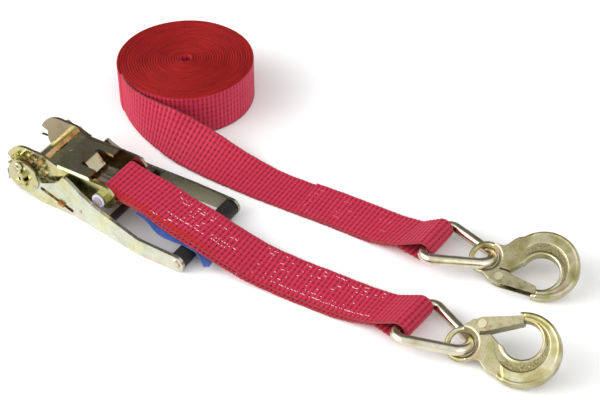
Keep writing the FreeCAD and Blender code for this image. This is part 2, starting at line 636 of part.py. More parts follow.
def build_latch(word):
    """Folded channel, open outwards, whose cheeks straddle the hook's ear and nose."""
    pivot = (size("latch_x"), size("latch_y"))
    prefix = "latch_%s_" % word
    outline = [(pivot[0] - 6.8, pivot[1] - 6.8, 6.7), (pivot[0] - 6.8, pivot[1] + 6.8, 6.7),
               (pivot[0] + 4, pivot[1] + 7.2, 4), (56.4, -13.2, 1.5), (57.4, -20, 1.5),
               (pivot[0] + 8, pivot[1] - 6, 6)]
    channel = new_body(prefix + "channel")
    add_feature(channel, "Pad", "XY_Plane", rounded(outline), "Sizes.latch_outside")
    inside = [(pivot[0] - 12, pivot[1] + 12, 0), (pivot[0] + 0.5, pivot[1] + 12, 0),
              (pivot[0] + 1.5, pivot[1] + 6.6, 0), (pivot[0] + 5, pivot[1] + 5.6, 2), (64, -14.6, 0),
              (64, -34, 0), (pivot[0] - 12, -34, 0)]
    add_feature(channel, "Pocket", "XY_Plane", rounded(inside), "Sizes.latch_inside")
    add_feature(channel, "Pocket", "XY_Plane", circle(*pivot, size("rivet_radius")), "30")
    channel.Placement = hook_placement(word)
    node("latch_" + word, channel)
    rivet = doc.addObject("Part::Cylinder", prefix + "rivet_shank")
    rivet.setExpression("Radius", "Sizes.rivet_radius")
    rivet.setExpression("Height", "Sizes.latch_outside")
    centre = Placement(V(*pivot, 0), Rotation())
    doc.recompute()
    rivet.Placement = centre * Placement(V(0, 0, -rivet.Height.Value / 2), Rotation())
    heads = []
    for side in (-1, 1):
        head = Placement(V(*pivot, side * (size("latch_outside") / 2 + 0.6)), Rotation())
        heads.append(cylinder(prefix + "rivet_head", "Sizes.rivet_radius + 1.6", "1.2", head))
    whole = fuse("latch_rivet_" + word, [rivet] + heads)
    whole.Placement = hook_placement(word)
    node("latch_rivet_" + word, whole)


def build_latch_spring(word):
    """Torsion spring in the ear's slot: two coils round the rivet and a leg along the latch."""
    pivot = (size("latch_x"), size("latch_y"))
    wire = 0.65
    coil = 3.75
    parts = []
    for level in (-0.7, 0.7):
        turn = doc.addObject("Part::Torus", "latch_coil")
        turn.Radius1 = coil
        turn.Radius2 = wire
        turn.Placement = Placement(V(*pivot, level), Rotation())
        parts.append(turn)
    leg = doc.addObject("Part::Cylinder", "latch_leg")
    leg.Radius = wire
    leg.Height = 14
    leg.Placement = Placement(V(pivot[0] + 1.2, pivot[1] + coil - 0.25, 0.7), Rotation(AXIS_Y, 90))
    spring = fuse("latch_spring_" + word, parts + [leg])
    spring.Placement = hook_placement(word)
    node("latch_spring_" + word, spring)


# ---------------------------------------------------------------- webbing

def ribbon(name, sections):
    """A closed solid through thin rectangular sections, each (centre, across, normal, width)."""
    wires = []
    for centre, across, normal, width in sections:
        a = across * (width / 2)
        b = normal * (size("web_thick") / 2)
        corners = [centre - a - b, centre + a - b, centre + a + b, centre - a + b]
        wires.append(Part.makePolygon(corners + corners[:1]))
    item = doc.addObject("Part::Feature", name)
    item.Shape = Part.makeLoft(wires, True, True)
    item.Placement = world(0, 0, 0)
    return node(name, item)


def frames_through(stations, steps):
    """Splits a smooth route of (x, y, z, roll) stations into frames (centre, across, forward, normal).

    Webbing lies flat at roll 0 and stands on its near edge's side at roll 90.
    """
    points = [V(x, y, z) for x, y, z, _ in stations]
    curve = Part.BSplineCurve()
    curve.interpolate(points)
    knots = [curve.parameter(p) for p in points]
    frames = []
    last = len(stations) - 1
    for i in range(last * steps + 1):
        first = min(i // steps, last - 1)
        share = i / steps - first
        t = knots[first] + (knots[first + 1] - knots[first]) * share
        ease = share * share * (3 - 2 * share)
        roll = math.radians(stations[first][3] + (stations[first + 1][3] - stations[first][3]) * ease)
        forward = V(*curve.tangent(t)[0])
        level = AXIS_Z.cross(forward).normalize()
        upright = forward.cross(level).normalize()
        across = level * math.cos(roll) + upright * math.sin(roll)
        normal = upright * math.cos(roll) - level * math.sin(roll)
        centre = curve.value(t)
        edge = abs(across.z) * size("web_width") / 2 + abs(normal.z) * size("web_thick") + size("ground_gap")
        centre.z = max(centre.z, edge)
        frames.append((centre, across, forward, normal))
    return frames


def aimed(frame, bar, end):
    """The frame turned so that its forward direction (end 1) or its back (end -1) meets the bar."""
    centre, across, _, _ = frame
    forward = (bar - centre).normalize() * end
    across = (across - forward * across.dot(forward)).normalize()
    return centre, across, forward, forward.cross(across)


def layer_offset():
    """Half the distance between the middles of two layers laid together."""
    return (size("web_thick") + size("layer_gap")) / 2


def laid(frames, side):
    """Sections of the layer on one side of a doubled strap: side 1 is above, side -1 beneath."""
    width = size("web_width")
    return [(c + n * (side * layer_offset()), a, n * side, width) for c, a, _, n in frames]


def turn_round(frame, bar, bar_radius, end):
    """Sections round a bar that lies ahead of the last frame (end 1) or behind the first (end -1)."""
    centre, across, forward, normal = aimed(frame, bar, end)
    heading = forward * end
    lead = (bar - centre).Length
    radius = bar_radius + size("web_thick") / 2
    half = layer_offset()
    first = math.atan2(half, -lead) - math.acos(radius / math.hypot(lead, half))
    steps = 14
    sections = []
    for k in range(steps + 1):
        angle = end * first * (1 - 2 * k / steps)
        outward = heading * math.cos(angle) + normal * math.sin(angle)
        sections.append((bar + outward * radius, across, outward, size("web_width")))
    return sections


# way of the short strap, from just behind the bolt to just before its ring
SHORT_ROUTE = [(112.0, 0.0, 34.6, 0.0), (136.0, -1.0, 32.2, 0.0), (166.0, -3.0, 26.6, 0.0),
               (194.0, -5.0, 22.7, 0.0), (206.0, -6.0, 21.0, 0.0), (232.0, -6.0, 14.0, 0.0),
               (262.0, -5.0, 7.0, 0.0), (296.0, -3.0, 3.4, 0.0), (340.0, -1.5, 2.9, 0.0),
               (374.0, -1.0, 4.6, -3.0), (398.0, -1.1, 9.6, -7.0)]
SHORT_SEAM = 250.0
# way of the long strap, from where it leaves the roll to just before its ring
LONG_ROUTE = [(-1.0, 129.5, 25.3, 90.0), (20.0, 115.6, 25.3, 88.0), (46.0, 105.6, 25.3, 80.0),
              (80.0, 100.6, 24.1, 62.0), (108.0, 102.0, 17.6, 39.0), (136.0, 102.6, 11.2, 22.0),
              (164.0, 102.8, 6.8, 10.0), (204.0, 102.8, 3.0, 1.0), (242.0, 103.4, 2.9, 0.0),
              (290.0, 104.6, 2.9, 0.0), (328.0, 104.2, 3.2, 0.0), (349.0, 102.8, 6.2, -3.0),
              (369.5, 101.4, 11.6, -7.0)]
LONG_SEAM = 248.0


def after(frames, x):
    """The frames whose centre lies beyond x."""
    return [f for f in frames if f[0].x > x]


def before(frames, x):
    return [f for f in frames if f[0].x < x]


def ring_bar(word):
    x, y, z, _ = RINGS[word]
    return V(x, y, z)


def build_short_strap():
    frames = frames_through(SHORT_ROUTE, 3)
    bolt = V(size("bolt_x"), 0, size("mandrel_height") + size("bolt_rise"))
    sections = laid(before(frames, SHORT_SEAM)[::-1], -1)
    sections += turn_round(frames[0], bolt, size("bolt_radius") + 0.35, -1)
    sections += laid(frames, 1)
    sections += turn_round(frames[-1], ring_bar("short"), size("wire_radius") + size("loop_slack"), 1)
    sections += laid(after(frames, SHORT_SEAM)[::-1], -1)
    ribbon("short_strap", sections)


def build_long_strap():
    frames = frames_through(LONG_ROUTE, 3)
    sections = [(c - n * layer_offset(), a, n * -1, size("web_width")) for c, a, _, n in frames]
    sections += turn_round(frames[-1], ring_bar("long"), size("wire_radius") + size("loop_slack"), 1)[::-1]
    sections += laid(after(frames, LONG_SEAM)[::-1], 1)
    ribbon("long_strap_tail", sections)
    height = "Sizes.web_width"
    spot = world(size("roll_x"), size("roll_y"), size("web_width") / 2 + 0.1)
    coil = cylinder("coil", "Sizes.roll_radius", height, spot)
    core = cylinder("coil_core", "Sizes.core_radius", height + " + 2", spot)
    node("strap_roll", combine("Cut", "strap_roll", coil, core))


def build_label():
    """Sewn-on label under the short strap, with one edge and a corner hanging out."""
    start = size("label_start")
    end = size("label_end")
    under = 2 * layer_offset() + 0.5
    half_thick = size("label_thick") / 2
    wires = []
    for centre, across, _, normal in frames_through(SHORT_ROUTE, 3):
        if not start < centre.x < end:
            continue
        bulge = size("label_bulge") * math.sin(math.pi * (centre.x - start) / (end - start))
        middle = centre - normal * under - across * (size("label_shift") + bulge / 2)
        a = across * ((size("label_width") + bulge) / 2)
        b = normal * half_thick
        corners = [middle - a - b, middle + a - b, middle + a + b, middle - a + b]
        wires.append(Part.makePolygon(corners + corners[:1]))
    item = doc.addObject("Part::Feature", "sewn_label")
    item.Shape = Part.makeLoft(wires, True, True)
    item.Placement = world(0, 0, 0)
    node("sewn_label", item)


build_frame()
build_mandrel()
build_wheels()
build_washers_and_pins()
build_arms()
build_grip()
build_drive_pawl()
build_lock_pawl()
build_lock_spring()
build_pawl_springs()
build_bolt()
build_rings()
build_short_strap()
build_long_strap()
build_label()
for word in RINGS:
    build_hook(word)
    build_latch(word)
    build_latch_spring(word)

doc.recompute()
for item in doc.Objects:
    bad = [s for s in item.State if s in ("Invalid", "Error")]
    if bad:
        raise RuntimeError("%s is %s" % (item.Label, bad))
os.makedirs("parts", exist_ok=True)
for name, item in NODES.items():
    shape = item.Shape
    if shape.isNull() or not shape.isValid():
        raise RuntimeError(name + " has no valid shape")
    shape.exportStep(os.path.join("parts", name + ".step"))
    print(name, "%.1f cm3, %d solid(s)" % (shape.Volume / 1000, len(shape.Solids)))
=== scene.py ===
import bpy
import math
import random
import numpy as np
from mathutils import Matrix, Vector


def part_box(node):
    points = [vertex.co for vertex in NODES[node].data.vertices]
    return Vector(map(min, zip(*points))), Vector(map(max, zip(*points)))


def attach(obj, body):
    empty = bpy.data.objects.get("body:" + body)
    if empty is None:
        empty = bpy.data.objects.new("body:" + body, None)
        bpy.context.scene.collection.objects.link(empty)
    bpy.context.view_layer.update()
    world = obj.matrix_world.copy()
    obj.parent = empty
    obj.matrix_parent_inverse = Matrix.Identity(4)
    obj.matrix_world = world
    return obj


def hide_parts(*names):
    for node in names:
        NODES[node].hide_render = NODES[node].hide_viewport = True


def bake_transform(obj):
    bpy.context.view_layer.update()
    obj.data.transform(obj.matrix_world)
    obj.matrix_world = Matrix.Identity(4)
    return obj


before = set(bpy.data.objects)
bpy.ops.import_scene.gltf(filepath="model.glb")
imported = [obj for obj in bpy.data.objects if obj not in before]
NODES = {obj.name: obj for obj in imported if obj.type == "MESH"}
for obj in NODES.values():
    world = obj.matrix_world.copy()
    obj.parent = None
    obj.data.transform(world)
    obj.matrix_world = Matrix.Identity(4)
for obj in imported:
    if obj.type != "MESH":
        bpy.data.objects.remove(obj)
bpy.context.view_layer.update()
MM = 0.001
ORIGIN = np.array([267.0, 107.35, 0.0])  # where the row origin lies in the layout's millimetres
AXLE = 27.5  # height of the mandrel's axis, mm
WIDTH = 50.0  # the webbing's width, mm
THICK = 2.3  # its thickness, without the ribs, mm
EDGE = 1.1  # how much of its width is rounded at either edge, mm
GAP = 0.3  # air between two layers sewn together, mm
HALF_LAYERS = (THICK + GAP) / 2  # from the middle of two layers to the middle of either
RIB = 4.8  # distance between the webbing's ribs, mm
YARN = 1.6  # distance between its yarns, mm
PITS = 6.2  # distance between the dark pits along a rib, mm
random.seed(7)


def place(points):
    """Points of the layout, in mm, as row coordinates in metres."""
    return (np.asarray(points, float) - ORIGIN) * MM


# ---------------------------------------------------------------- camera, light and floor

def make_camera():
    """The main view: 41 degrees above the ground, 31 degrees round from straight ahead."""
    elevation = math.radians(41.05)
    azimuth = math.radians(31.0)
    distance = 1.427
    target = Vector((-0.0200, -0.01285, 0.0))
    away = Vector((math.sin(azimuth) * math.cos(elevation), -math.cos(azimuth) * math.cos(elevation),
                   math.sin(elevation)))
    data = bpy.data.cameras.new("camera")
    data.lens = 84.0
    data.sensor_width = 36.0
    camera = bpy.data.objects.new("camera", data)
    camera.location = target + away * distance
    camera.rotation_euler = (-away).to_track_quat("-Z", "Y").to_euler()
    bpy.context.collection.objects.link(camera)
    bpy.context.scene.camera = camera


def area_light(name, spot, size, power):
    """A rectangular light at that spot, in metres, that faces the object."""
    data = bpy.data.lights.new(name, "AREA")
    data.shape = "RECTANGLE"
    data.size, data.size_y = size
    data.energy = power
    light = bpy.data.objects.new(name, data)
    light.location = spot
    light.rotation_euler = (-Vector(spot)).to_track_quat("-Z", "Y").to_euler()
    bpy.context.collection.objects.link(light)


def make_studio():
    """A white tent, brighter at the front left, with a dark card behind that metal tops mirror."""
    world = bpy.data.worlds.new("studio")
    bpy.context.scene.world = world
    world.use_nodes = True
    tree = world.node_tree
    back = tree.nodes["Background"]
    where = tree.nodes.new("ShaderNodeTexCoord").outputs["Generated"]

    def towards(direction, low, high, level):
        """level in that direction, falling to 0 outside it; low and high are cosines."""
        dot = tree.nodes.new("ShaderNodeVectorMath")
        dot.operation = "DOT_PRODUCT"
        tree.links.new(where, dot.inputs[0])
        dot.inputs[1].default_value = Vector(direction).normalized()
        span = tree.nodes.new("ShaderNodeMapRange")
        span.interpolation_type = "SMOOTHSTEP"
        for socket, value in zip(span.inputs[1:5], (low, high, 0.0, level)):
            socket.default_value = value
        tree.links.new(dot.outputs["Value"], span.inputs[0])
        return span.outputs[0]

    def combine(operation, a, b):
        made = tree.nodes.new("ShaderNodeMath")
        made.operation = operation
        for socket, value in zip(made.inputs, (a, b)):
            if hasattr(value, "is_output"):
                tree.links.new(value, socket)
            else:
                socket.default_value = value
        return made.outputs[0]

    lamp = towards((-0.66, -0.62, 0.42), 0.72, 0.97, 2.3)
    strip = towards((0.75, -0.35, 0.55), 0.86, 0.97, 1.0)
    card = towards((-0.388, 0.646, 0.656), 0.62, 0.92, 0.84)
    level = combine("ADD", combine("ADD", lamp, strip), 1.0)
    level = combine("MULTIPLY", level, combine("SUBTRACT", 1.0, card))
    tree.links.new(level, back.inputs[0])
    back.inputs["Strength"].default_value = 1.0
    area_light("key", (-1.9, -1.6, 1.25), (1.8, 1.4), 26)
    bpy.context.scene.view_settings.view_transform = "Standard"


def make_floor():
    bpy.ops.mesh.primitive_plane_add(size=12, location=(0, 0, -0.0002))
    floor = bpy.context.object
    floor.name = "floor"
    paper = bpy.data.materials.new("paper")
    paper.use_nodes = True
    shader = paper.node_tree.nodes["Principled BSDF"]
    shader.inputs["Base Color"].default_value = (0.95, 0.95, 0.95, 1)
    shader.inputs["Roughness"].default_value = 0.9
    shader.inputs["Specular IOR Level"].default_value = 0.1
    floor.data.materials.append(paper)


# ---------------------------------------------------------------- materials

class Shader:
    """A small helper that adds nodes to a material's tree and links them."""

    def __init__(self, name, roughness=0.5, metallic=0.0, colour=(0.5, 0.5, 0.5)):
        self.material = bpy.data.materials.new(name)
        self.material.use_nodes = True
        self.tree = self.material.node_tree
        self.base = self.tree.nodes["Principled BSDF"]
        self.base.inputs["Roughness"].default_value = roughness
        self.base.inputs["Metallic"].default_value = metallic
        self.base.inputs["Base Color"].default_value = (*colour, 1)

    def node(self, kind, settings=None, **inputs):
        """A node of that kind. Inputs are values, or outputs to link; in0, in1 name them by place."""
        made = self.tree.nodes.new("ShaderNode" + kind)
        for key, value in (settings or {}).items():
            setattr(made, key, value)
        for key, value in inputs.items():
            digits = key[2:]
            socket = made.inputs[int(digits)] if digits.isdigit() else made.inputs[key.replace("_", " ")]
            self.set(socket, value)
        return made

    def set(self, socket, value):
        if hasattr(value, "is_output"):
            self.tree.links.new(value, socket)
        else:
            socket.default_value = value

    def math(self, operation, a, b=0.0, clamp=False):
        return self.node("Math", {"operation": operation, "use_clamp": clamp}, in0=a, in1=b).outputs[0]

    def mix(self, share, a, b):
        """Colour a where share is 0 and colour b where it is 1."""
        made = self.node("Mix", {"data_type": "RGBA"})
        self.set(made.inputs[0], share)
        for index, value in ((6, a), (7, b)):
            self.set(made.inputs[index], value if hasattr(value, "is_output") else (*value, 1))
        return made.outputs[2]

    def coordinates(self, kind="Object"):
        return self.node("TexCoord").outputs[kind]

    def noise(self, scale, detail=3.0, roughness=0.5, vector=None):
        made = self.node("TexNoise", Scale=scale, Detail=detail, Roughness=roughness)
        self.set(made.inputs["Vector"], vector or self.coordinates())
        return made.outputs["Fac"]

    def ramp(self, value, stops):
        """A colour from stops of (value, colour)."""
        made = self.node("ValToRGB", in0=value)
        marks = made.color_ramp.elements
        marks[0].position, marks[1].position = stops[0][0], stops[-1][0]
        marks[0].color, marks[1].color = (*stops[0][1], 1), (*stops[-1][1], 1)
        for at, colour in stops[1:-1]:
            marks.new(at).color = (*colour, 1)
        return made.outputs[0]

    def span(self, value, low, high, to_low=0.0, to_high=1.0):
        """The value with low to high stretched onto to_low to to_high, and held outside them."""
        made = self.node("MapRange", in0=value, in1=low, in2=high, in3=to_low, in4=to_high)
        return made.outputs[0]

    def stripes(self, value, period):
        """A wave between 0 and 1 that repeats each time the value grows by a period."""
        turns = self.math("MULTIPLY", value, 2 * math.pi / period)
        return self.span(self.math("COSINE", turns), -1.0, 1.0)

    def bump(self, height, strength, distance):
        """Adds a bump on top of those that are there."""
        made = self.node("Bump", Strength=strength, Distance=distance, Height=height)
        before = self.base.inputs["Normal"]
        if before.links:
            self.set(made.inputs["Normal"], before.links[0].from_socket)
        self.set(before, made.outputs[0])

    def colour(self, value):
        self.set(self.base.inputs["Base Color"], value)

    def roughness(self, value):
        self.set(self.base.inputs["Roughness"], value)


DIRT = (0.30, 0.27, 0.14)


def chromate(name, stops, rough=(0.18, 0.36), grain=0.25, patch=26.0, shade=None, painted_shade_colour=None):
    """Yellow zinc chromate: drifting yellow, green and pink tints over rolled or forged steel.

    shade, when given, makes a share of painted shade, in a darker colour, from the shader's coordinates.
    """
    shader = Shader(name, metallic=1.0)
    tint = shader.noise(patch, 2.5, 0.55)
    fine = shader.noise(240.0, 4.0, 0.6)
    mixed = shader.math("ADD", shader.math("MULTIPLY", tint, 0.86), shader.math("MULTIPLY", fine, 0.14))
    base = shader.ramp(mixed, stops)
    smudge = shader.span(shader.noise(70.0, 5.0, 0.65), 0.42, 0.7)
    tone = shader.mix(shader.math("MULTIPLY", smudge, 0.35), base, DIRT)
    # where a shade is given, its darker colour is mixed in as painted shade
    shader.colour(shader.mix(shade(shader), tone, painted_shade_colour) if shade else tone)
    shader.roughness(shader.span(shader.noise(120.0, 5.0, 0.6), 0.3, 0.7, *rough))
    shader.bump(shader.noise(900.0, 3.0, 0.6), grain, 0.00012)
    return shader.material


def forged_hook(name):
    """Forged chromate: smooth pale crescent, and a darker speckled recess where "rough" is 1."""
    shader = Shader(name, metallic=1.0)
    rough = shader.node("VertexColor", {"layer_name": "rough"}).outputs[0]
    tint = shader.noise(45.0, 3.0, 0.55)
    smooth = shader.ramp(tint, [(0.30, (0.27, 0.23, 0.09)), (0.44, (0.42, 0.38, 0.19)),
                                (0.55, (0.52, 0.49, 0.33)), (0.66, (0.44, 0.34, 0.22)),
                                (0.76, (0.32, 0.33, 0.17))])
    speckle = shader.noise(1100.0, 2.0, 0.7)
    pitted = shader.ramp(speckle, [(0.38, (0.04, 0.035, 0.015)), (0.48, (0.17, 0.145, 0.06)),
                                   (0.60, (0.42, 0.38, 0.21))])
    shader.colour(shader.mix(shader.math("MULTIPLY", rough, 0.85), smooth, pitted))
    sheen = shader.span(shader.noise(130.0, 5.0, 0.6), 0.3, 0.7, 0.24, 0.42)
    shader.roughness(shader.math("ADD", sheen, shader.math("MULTIPLY", rough, 0.18)))
    coarse = shader.math("MULTIPLY", speckle, shader.math("ADD", shader.math("MULTIPLY", rough, 0.9), 0.1))
    shader.bump(coarse, 0.7, 0.0004)
    shader.bump(shader.noise(260.0, 4.0, 0.6), 0.25, 0.0003)
    return shader.material


def roll_face(name):
    """The roll's top: the edges of its turns, brownish red, with fine lines that follow them."""
    shader = Shader(name, roughness=0.7)
    split = shader.node("SeparateXYZ", in0=shader.coordinates("UV"))
    ticks = shader.stripes(split.outputs[1], 2.6)
    drift = shader.span(shader.noise(0.02, 3.0, 0.6, shader.coordinates("UV")), 0.35, 0.65)
    tone = shader.mix(drift, (0.185, 0.005, 0.005), (0.300, 0.010, 0.009))
    tone = shader.mix(shader.math("MULTIPLY", ticks, 0.25), tone, (0.38, 0.018, 0.016))
    shader.colour(tone)
    shader.bump(ticks, 0.25, 0.00012)
    shader.base.inputs["Specular IOR Level"].default_value = 0.12
    return shader.material


def label_cloth(name):
    """Blue label cloth with a fine plain weave."""
    shader = Shader(name, roughness=0.6)
    split = shader.node("SeparateXYZ", in0=shader.coordinates("UV"))
    thread = 0.5
    weave = shader.math("MULTIPLY", shader.stripes(split.outputs[0], thread),
                        shader.stripes(split.outputs[1], thread))
    drift = shader.noise(0.12, 3.0, 0.6, shader.coordinates("UV"))
    tone = shader.mix(shader.span(drift, 0.3, 0.7), (0.010, 0.035, 0.18), (0.022, 0.075, 0.30))
    shader.colour(shader.mix(shader.math("MULTIPLY", weave, 0.3), tone, (0.04, 0.12, 0.38)))
    shader.bump(weave, 0.3, 0.0001)
    shader.base.inputs["Sheen Weight"].default_value = 0.15
    return shader.material


def painted_shade_from_y(low, high, share):
    """A share of painted shade that rises from 0 at y = low to that share at y = high, in metres of the row
    frame.
    """
    def level(shader):
        split = shader.node("SeparateXYZ", in0=shader.coordinates())
        return shader.span(split.outputs[1], low, high, 0.0, share)
    return level


def painted_shade_on_web_and_far_lobe(shader):
    """Painted shade on the frame: most on the far lobe, whose inner face lies in shade, a little on the web's
    top, and none on the near side.
    """
    split = shader.node("SeparateXYZ", in0=shader.coordinates())
    # the far lobe: painted shade for its shadowed inner face
    far = shader.span(split.outputs[1], -0.0870, -0.0830, 0.0, 0.75)
    # the web's top, apart from its near edge: a little painted shade for the dark that it mirrors
    top = shader.span(split.outputs[2], 0.0480, 0.0496, 0.0, 0.15)
    inner = shader.span(split.outputs[1], -0.1345, -0.1335, 0.0, 1.0)
    return shader.math("MAXIMUM", far, shader.math("MULTIPLY", top, inner))


PALE = [(0.28, (0.50, 0.48, 0.26)), (0.40, (0.62, 0.60, 0.40)), (0.48, (0.56, 0.60, 0.50)),
        (0.56, (0.64, 0.57, 0.50)), (0.66, (0.58, 0.50, 0.36)), (0.78, (0.48, 0.38, 0.20))]
RINGS = [(0.30, (0.44, 0.38, 0.24)), (0.44, (0.66, 0.61, 0.44)), (0.56, (0.74, 0.68, 0.56)),
         (0.70, (0.56, 0.44, 0.30))]
LATCH = [(0.30, (0.20, 0.17, 0.08)), (0.45, (0.36, 0.33, 0.19)), (0.56, (0.44, 0.40, 0.26)),
         (0.70, (0.28, 0.21, 0.11))]
FRAME = [(0.32, (0.34, 0.31, 0.11)), (0.42, (0.56, 0.52, 0.24)), (0.52, (0.52, 0.53, 0.34)),
         (0.60, (0.58, 0.46, 0.34)), (0.70, (0.40, 0.27, 0.10))]
FORGED = [(0.30, (0.36, 0.31, 0.16)), (0.45, (0.52, 0.47, 0.28)), (0.55, (0.58, 0.54, 0.37)),
          (0.70, (0.44, 0.35, 0.19))]
BROWN = [(0.30, (0.30, 0.13, 0.04)), (0.48, (0.52, 0.27, 0.10)), (0.60, (0.62, 0.40, 0.19)),
         (0.75, (0.38, 0.21, 0.08))]


def webbing(name, band=None):
    """Woven polyester. UVs are millimetres across and along, so the weave follows the strap.

    band is where the plain, more orange stretch beside the near edge lies: (width, from, to) in mm.
    """
    shader = Shader(name, roughness=0.62)
    place_uv = shader.coordinates("UV")
    split = shader.node("SeparateXYZ", in0=place_uv)
    across, along = split.outputs[0], split.outputs[1]
    ribs = shader.stripes(along, RIB)
    half_ribs = shader.stripes(along, RIB / 2)
    step = shader.math("FLOOR", shader.math("DIVIDE", along, RIB))
    yarn_turns = shader.math("ADD", shader.math("MULTIPLY", across, 2 * math.pi / YARN),
                             shader.math("MULTIPLY", step, math.pi))
    yarns = shader.span(shader.math("COSINE", yarn_turns), -1.0, 1.0)
    stagger = shader.math("MULTIPLY", shader.math("FRACT", shader.math("MULTIPLY", step, 0.5)), 1.2)
    drift = shader.math("MULTIPLY", shader.noise(0.35, 2.0, 0.5, place_uv), 2.2)
    spot = shader.math("ADD", across, shader.math("ADD", stagger, drift))
    column = shader.math("ABSOLUTE", shader.math("SUBTRACT", shader.math(
        "FRACT", shader.math("DIVIDE", spot, PITS)), 0.5))
    pits = shader.math("MULTIPLY", shader.span(column, 0.24, 0.10), shader.span(ribs, 0.42, 0.12))
    seams = shader.span(column, 0.12, 0.02)
    speckle = shader.noise(1.7, 3.0, 0.6, place_uv)
    level = shader.math("ADD", shader.math("MULTIPLY", ribs, 0.50), shader.math("MULTIPLY", yarns, 0.14))
    level = shader.math("SUBTRACT", level, shader.math("MULTIPLY", half_ribs, 0.10))
    level = shader.math("SUBTRACT", level, shader.math("MULTIPLY", seams, 0.22))
    level = shader.math("ADD", level, shader.span(speckle, 0.3, 0.7, -0.05, 0.38), clamp=True)
    tone = shader.mix(level, (0.30, 0.006, 0.026), (0.69, 0.047, 0.103))
    broad = shader.noise(0.045, 3.0, 0.6, place_uv)
    tone = shader.mix(shader.span(broad, 0.40, 0.75, 0.0, 0.35), tone, (0.36, 0.012, 0.030))
    if band:
        edge = shader.math("ADD", across, shader.math("MULTIPLY", shader.noise(0.5, 3.0, 0.6, place_uv), 5.0))
        width, first, last = band
        plain_edge = shader.span(edge, width + 3.5, width + 1.0)
        plain_edge = shader.math("MULTIPLY", plain_edge, shader.span(along, first, first + 12))
        plain_edge = shader.math("MULTIPLY", plain_edge, shader.span(along, last, last - 40))
        fine = shader.mix(yarns, (0.36, 0.010, 0.010), (0.52, 0.022, 0.020))
        tone = shader.mix(shader.math("MULTIPLY", plain_edge, 0.85), tone, fine)
    depth = shader.span(shader.noise(0.28, 2.0, 0.5, place_uv), 0.35, 0.62, 0.25, 0.85)
    shader.colour(shader.mix(shader.math("MULTIPLY", pits, depth), tone, (0.11, 0.003, 0.011)))
    height = shader.math("ADD", shader.math("MULTIPLY", ribs, 0.6), shader.math("MULTIPLY", yarns, 0.25))
    height = shader.math("SUBTRACT", height, shader.math("MULTIPLY", pits, 0.9))
    height = shader.math("SUBTRACT", height, shader.math("MULTIPLY", seams, 0.3))
    shader.bump(height, 0.6, 0.0005)
    shader.base.inputs["Sheen Weight"].default_value = 0.07
    shader.base.inputs["Sheen Roughness"].default_value = 0.4
    shader.base.inputs["Sheen Tint"].default_value = (1.0, 0.55, 0.62, 1)
    shader.base.inputs["Specular IOR Level"].default_value = 0.22
    return shader.material


def selvedge(name):
    """The woven edge of the webbing, darker and more orange, with threads along it."""
    shader = Shader(name, roughness=0.6)
    split = shader.node("SeparateXYZ", in0=shader.coordinates("UV"))
    ticks = shader.stripes(split.outputs[1], 1.3)
    drift = shader.noise(0.25, 3.0, 0.6, shader.coordinates("UV"))
    tone = shader.mix(ticks, (0.15, 0.006, 0.010), (0.27, 0.011, 0.017))
    tone = shader.mix(shader.span(drift, 0.40, 0.62), tone, (0.32, 0.016, 0.032))
    shader.colour(tone)
    shader.bump(ticks, 0.4, 0.0002)
    shader.base.inputs["Sheen Weight"].default_value = 0.2
    shader.base.inputs["Specular IOR Level"].default_value = 0.25
    return shader.material


def plain(name, colour, roughness, metallic=0.0, vary=0.2, scale=150.0):
    """One colour that varies by that share, with an uneven gloss and a fine grain."""
    shader = Shader(name, roughness, metallic, colour)
    speck = shader.noise(scale, 4.0, 0.6)
    dark = tuple(c * (1 - vary) for c in colour)
    light = tuple(min(1.0, c * (1 + vary)) for c in colour)
    shader.colour(shader.mix(speck, dark, light))
    shader.roughness(shader.span(shader.noise(scale * 0.6, 3.0, 0.5), 0.3, 0.7, roughness * 0.8,
                                 min(1.0, roughness * 1.2)))
    shader.bump(shader.noise(scale * 6, 2.0, 0.5), 0.2, 0.0001)
    return shader.material


MATERIALS = {
    # painted shade on the zinc parts, growing towards the far side (higher y)
    "zinc": chromate("zinc_yellow", PALE, shade=painted_shade_from_y(-0.085, -0.060, 0.8), painted_shade_colour=(0.32, 0.31, 0.21)),
    # painted shade on the frame's far lobe and on its web's top
    "frame": chromate("zinc_frame", FRAME, rough=(0.14, 0.30), patch=34.0, shade=painted_shade_on_web_and_far_lobe,
                      painted_shade_colour=(0.28, 0.21, 0.14)),
    "hub": chromate("zinc_hub", FRAME, rough=(0.16, 0.32), patch=60.0),
    "forged": chromate("zinc_forged", FORGED, rough=(0.24, 0.42), grain=0.45, patch=40.0),
    "ring": chromate("zinc_ring", RINGS, rough=(0.14, 0.26), grain=0.2, patch=50.0),
    "latch": chromate("zinc_latch", LATCH, rough=(0.22, 0.40), grain=0.5, patch=90.0),
    "brown": chromate("zinc_brown", BROWN, rough=(0.2, 0.38), patch=60.0),
    "web": webbing("webbing_red"),
    "web_banded": webbing("webbing_red_banded", band=(7.0, 166, 330)),
    "web_edge": selvedge("webbing_edge"),
    "roll_edge": roll_face("webbing_roll_edge"),
    "hook": forged_hook("zinc_hook"),
    "bolt": plain("bolt_zinc", (0.42, 0.34, 0.37), 0.30, 1.0, vary=0.15),
    "bar": plain("bar_black", (0.035, 0.018, 0.016), 0.42, 0.3, vary=0.35),
    "wire": plain("spring_wire", (0.42, 0.40, 0.36), 0.3, 1.0),
    "grip": plain("grip_black", (0.008, 0.007, 0.0075), 0.40, 0.0, vary=0.3),
    "nylon": plain("nylon_white", (0.50, 0.52, 0.68), 0.45, 0.0, vary=0.05),
    "label": label_cloth("label_blue"),
    "stitch": plain("stitch_white", (0.80, 0.62, 0.66), 0.6, 0.0, vary=0.2, scale=900.0),
    "stitch_red": plain("stitch_red", (0.74, 0.16, 0.26), 0.6, 0.0, vary=0.2, scale=900.0),
}

